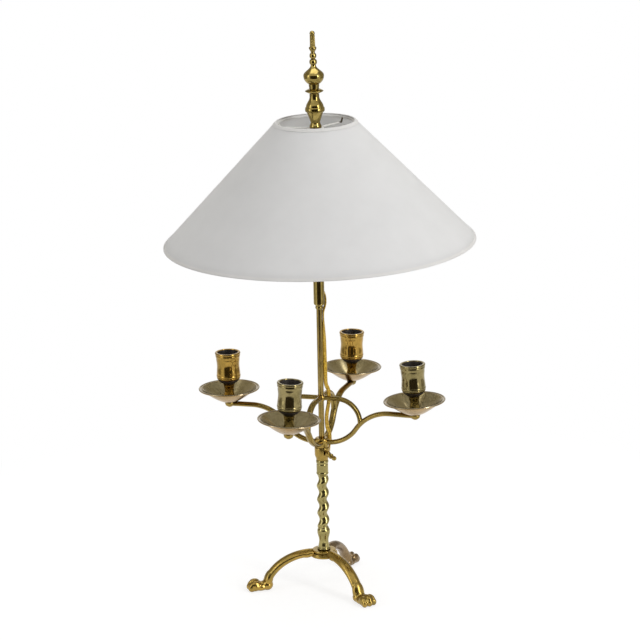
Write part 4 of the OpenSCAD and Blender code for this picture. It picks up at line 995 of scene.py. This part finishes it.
def makeFinial():
    s = finialSizes
    foot, belt, neck, disc, half = values(s, "foot belt neck disc discHalf")
    z = level["seat"] + s["washer"]
    waistZ, beltZ, neckZ, discZ = [z + s["vase"] * share for share in (0.2, 0.5, 0.84, 1)]
    lens = [(-2.4, -1.6), (-0.5, -0.6), (0, 0), (-0.5, 0.6), (-2.4, 1.6)]  # the thin disc's edge
    outline = ([(0, z), (foot, z), (foot, z + 1.2)] + ogee(foot, z + 1.2, foot - 1.7, waistZ - 2.4)
               + [(foot - 1.7, waistZ - 2), (belt - 1.8, beltZ - 3)]
               + bead(belt - 0.7, beltZ - 2.6, beltZ + 2.6, 0.7)
               + ogee(belt - 1.2, beltZ + 3, neck, neckZ, 20)
               + [(neck, discZ - half)] + [(disc + r, discZ + h) for r, h in lens]
               + [(neck, discZ + half), (0, discZ + half)])
    dress(turned("finialVase", outline, 96, 0.15, leanPlacement), brightBrass, "finial", "finial_vase",
          slot="bright_brass")
    base, onion, tall, ball, reeds = values(s, "onionFoot onion onionHeight tipBall reeds")
    z = discZ + half
    onionZ = z + s["onionNeck"]
    wideZ, spire = onionZ + tall * 0.45, onionZ + tall
    u = s["spire"] / 41.2  # the heights of the spire's beads are drawn for a spire this tall
    shaft, shaftTop = spire + 22.4 * u, spire + 35.9 * u
    low64 = cos(radians(64))
    bulge = [(base + (onion - base) * (cos(radians(a)) - low64) / (1 - low64),
              wideZ + (wideZ - onionZ) * sin(radians(a)) / sin(radians(64))) for a in range(-64, 1, 4)]
    tip = [(ball * cos(radians(a)), spire + s["spire"] - ball * u * (1 - sin(radians(a))))
           for a in range(-45, 91, 9)]
    outline = ([(0, z)] + ogee(neck, z, base, onionZ - 0.4) + bulge + ogee(onion, wideZ + 0.4, 3.1, spire, 20)
               + bead(3.0, spire + 0.6 * u, spire + 7 * u, 1.6) + [(2.4, spire + 7.5 * u)]
               + bead(2.6, spire + 8 * u, spire + 14.4 * u, 1.55) + [(2.45, spire + 15 * u)]
               + ogee(2.5, spire + 15.6 * u, 4.0, spire + 19 * u)
               + bead(4.0, spire + 19.2 * u, spire + 21.8 * u, 0.55) + [(3.0, shaft), (2.3, shaftTop)] + tip)
    body = turned("finialSpire", outline, 96, 0.12)
    whole = join("finialSpire", body, *[reed(k, reeds, shaft - 1, shaftTop + 0.4) for k in range(reeds)])
    smoothEdges(settle(whole, leanPlacement))
    dress(whole, brightBrass, "finial", "finial_spire", slot="bright_brass")


def reed(index, count, z0, z1):
    # one slim tapering rib of the spire
    clearSelection()
    bpy.ops.mesh.primitive_cone_add(vertices=14, radius1=0.85 * mm, radius2=0.6 * mm, depth=(z1 - z0) * mm,
                                    location=(2.4 * mm, 0, (z0 + z1) / 2 * mm))
    return settle(settle(named("reed%d" % index)), turnBy(360 * index / count))


makeFinial()
print("finial made")


# solids that keep their shape
keptNodes = [
    (brightBrass, "sleeve_screw holder_body nipple_1 nipple_2 socket_cap_1 socket_cap_2 socket_shell_1 "
                  "socket_shell_2 shade_seat"),
    (castBrass, "column_nut"),
    (phenolic, "outlet_bush socket_core_1 socket_core_2 switch_knob_1 switch_knob_2"),
    (bulbGlass, "bulb_1 bulb_2"),
    (wire, "spider top_ring bottom_ring"),
]
for finish, names in keptNodes:
    for kept in values(nodes, names):
        for k in range(max(1, len(kept.material_slots))):
            if k < len(kept.material_slots):
                kept.material_slots[k].material = finish
            else:
                kept.data.materials.append(finish)


# studio
studio = {
    # the table's edges and top
    "left": -1300.0, "right": 1300.0, "front": -700.0, "behind": 1400.0, "floor": -0.2,
    "fade": (300.0, 700.0),  # the table's shading fades out over this distance from the lamp
    "glow": 0.78,  # with the soft light this makes the shown table white, so that only the shadow is left
    "daylight": 0.62,
    "cards": {  # first end, second end, foot, top, colour
        "cardFront": ((-4000, -4600), (4000, -4600), -2600, 3400, "#5C554A"),
        "cardLeft": ((-3300, -600), (-1000, 3600), -3000, 5200, "#DAD6CC"),
        "cardRight": ((1000, 3600), (3300, -600), -3000, 5200, "#DEDAD0"),
    },
}


def seenDirectly(tree):
    # 1 for rays that show the background: to the eye, mirrored in metal, through glass
    path = addNode(tree, "LightPath").outputs
    seen = path["Is Camera Ray"]
    for other in ("Is Glossy Ray", "Is Transmission Ray"):
        seen = addNode(tree, "Math", {"operation": "MAXIMUM"}, {0: seen, 1: path[other]})
    return seen


def makeFloor():
    s = studio
    clearSelection()
    bpy.ops.mesh.primitive_plane_add(size=mm, location=((s["left"] + s["right"]) / 2 * mm,
                                                        (s["front"] + s["behind"]) / 2 * mm, s["floor"] * mm))
    bpy.context.object.scale = (s["right"] - s["left"], s["behind"] - s["front"], 1)
    floor = settle(named("studioTable"))
    material, tree, shader, spot, output = newMaterial("paleTable")
    tree.nodes.remove(shader)
    pale = addNode(tree, "BsdfDiffuse", {"Color": linear("#E5E5E5")})
    far = addNode(tree, "VectorMath", {"operation": "LENGTH"}, {0: spot})
    near, end = s["fade"]
    fade = addNode(tree, "MapRange", {"From Min": near * mm, "From Max": end * mm}, {"Value": far})
    shown = addNode(tree, "BsdfDiffuse", {"Color": linear("#9C9C9C")})
    glow = addNode(tree, "Emission", {"Strength": s["glow"]})
    both = addNode(tree, "AddShader", links={0: shown, 1: glow})
    white = addNode(tree, "Emission", {"Strength": 1.0})
    faded = addNode(tree, "MixShader", links={0: fade, 1: both, 2: white})
    mix = addNode(tree, "MixShader", links={0: seenDirectly(tree), 1: pale, 2: faded})
    setNode(output, links={"Surface": mix})
    floor.data.materials.append(material)


def makeCards():
    # upright cards round the set that the brass mirrors; the eye looks past them
    for name, (first, second, foot, top, colour) in studio["cards"].items():
        clearSelection()
        bpy.ops.mesh.primitive_plane_add(size=mm, rotation=(pi / 2, 0, 0))
        card = named(name)
        span = Vector((second[0] - first[0], second[1] - first[1], 0))
        card.scale = (span.length, top - foot, 1)
        bpy.ops.object.transform_apply(location=False, rotation=False, scale=True)
        settle(card, moveBy((first[0] + second[0]) / 2, (first[1] + second[1]) / 2, (foot + top) / 2)
               @ turnBy(degrees(atan2(span.y, span.x))))
        material, tree, shader, _, output = newMaterial(name + "Paint")
        tree.nodes.remove(shader)
        path = addNode(tree, "LightPath")
        paint = addNode(tree, "BsdfDiffuse", {"Color": linear(colour)})
        clear = addNode(tree, "BsdfTransparent")
        mix = addNode(tree, "MixShader", links={0: path.outputs["Is Camera Ray"], 1: paint, 2: clear})
        setNode(output, links={"Surface": mix})
        card.data.materials.append(material)


def makeWorld():
    # white to the eye and in the brass, gentler as a light
    world = bpy.data.worlds.new("studioWorld")
    bpy.context.scene.world = world
    world.use_nodes = True
    tree = world.node_tree
    tree.nodes.clear()
    light = addNode(tree, "Background", {"Color": linear("#FFFFFF"), "Strength": studio["daylight"]})
    white = addNode(tree, "Background", {"Color": linear("#FFFFFF"), "Strength": 1.0})
    mix = addNode(tree, "MixShader", links={0: seenDirectly(tree), 1: light, 2: white})
    addNode(tree, "OutputWorld", links={"Surface": mix})


lamps = {
    "keyRight": {"place": (1750, -1650, 1150), "wide": 520, "tall": 2100, "power": 33.0},
    "fillLeft": {"place": (-1950, -1000, 1000), "wide": 420, "tall": 1900, "power": 6.0},
    "topSoft": {"place": (100, 300, 2200), "wide": 1400, "tall": 1400, "power": 11.0},
}


def makeLamps():
    for name, s in lamps.items():
        data = bpy.data.lights.new(name, "AREA")
        data.shape = "RECTANGLE"
        data.size = s["wide"] * mm
        data.size_y = s["tall"] * mm
        data.energy = s["power"]
        lamp = bpy.data.objects.new(name, data)
        bpy.context.scene.collection.objects.link(lamp)
        lamp.location = Vector(s["place"]) * mm
        aim = Vector((0, 0, 0.35)) - lamp.location
        lamp.rotation_euler = aim.to_track_quat("-Z", "Y").to_euler()


cameraSizes = {"eye": (0.0, -3000.0, 1130.1), "target": (0.7, 0.0, 345.2), "roll": -1.14, "lens": 142.55}


def makeCamera():
    s = cameraSizes
    data = bpy.data.cameras.new("camera")
    data.lens = s["lens"]
    data.sensor_width = 36.0
    data.clip_start = 0.1
    data.clip_end = 50.0
    camera = bpy.data.objects.new("camera", data)
    bpy.context.scene.collection.objects.link(camera)
    eye, target = Vector(s["eye"]), Vector(s["target"])
    forward = (target - eye).normalized()
    right = forward.cross(Vector((0, 0, 1))).normalized()
    up = right.cross(forward)
    c, n = cos(radians(s["roll"])), sin(radians(s["roll"]))
    tiltedRight, tiltedUp = right * c + up * n, up * c - right * n
    turn = Matrix((tiltedRight, tiltedUp, -forward)).transposed().to_4x4()
    camera.matrix_world = Matrix.Translation(eye * mm) @ turn
    bpy.context.scene.camera = camera


makeFloor()
makeCards()
makeWorld()
makeLamps()
makeCamera()
bpy.context.scene.view_settings.view_transform = "Standard"
print("studio made")
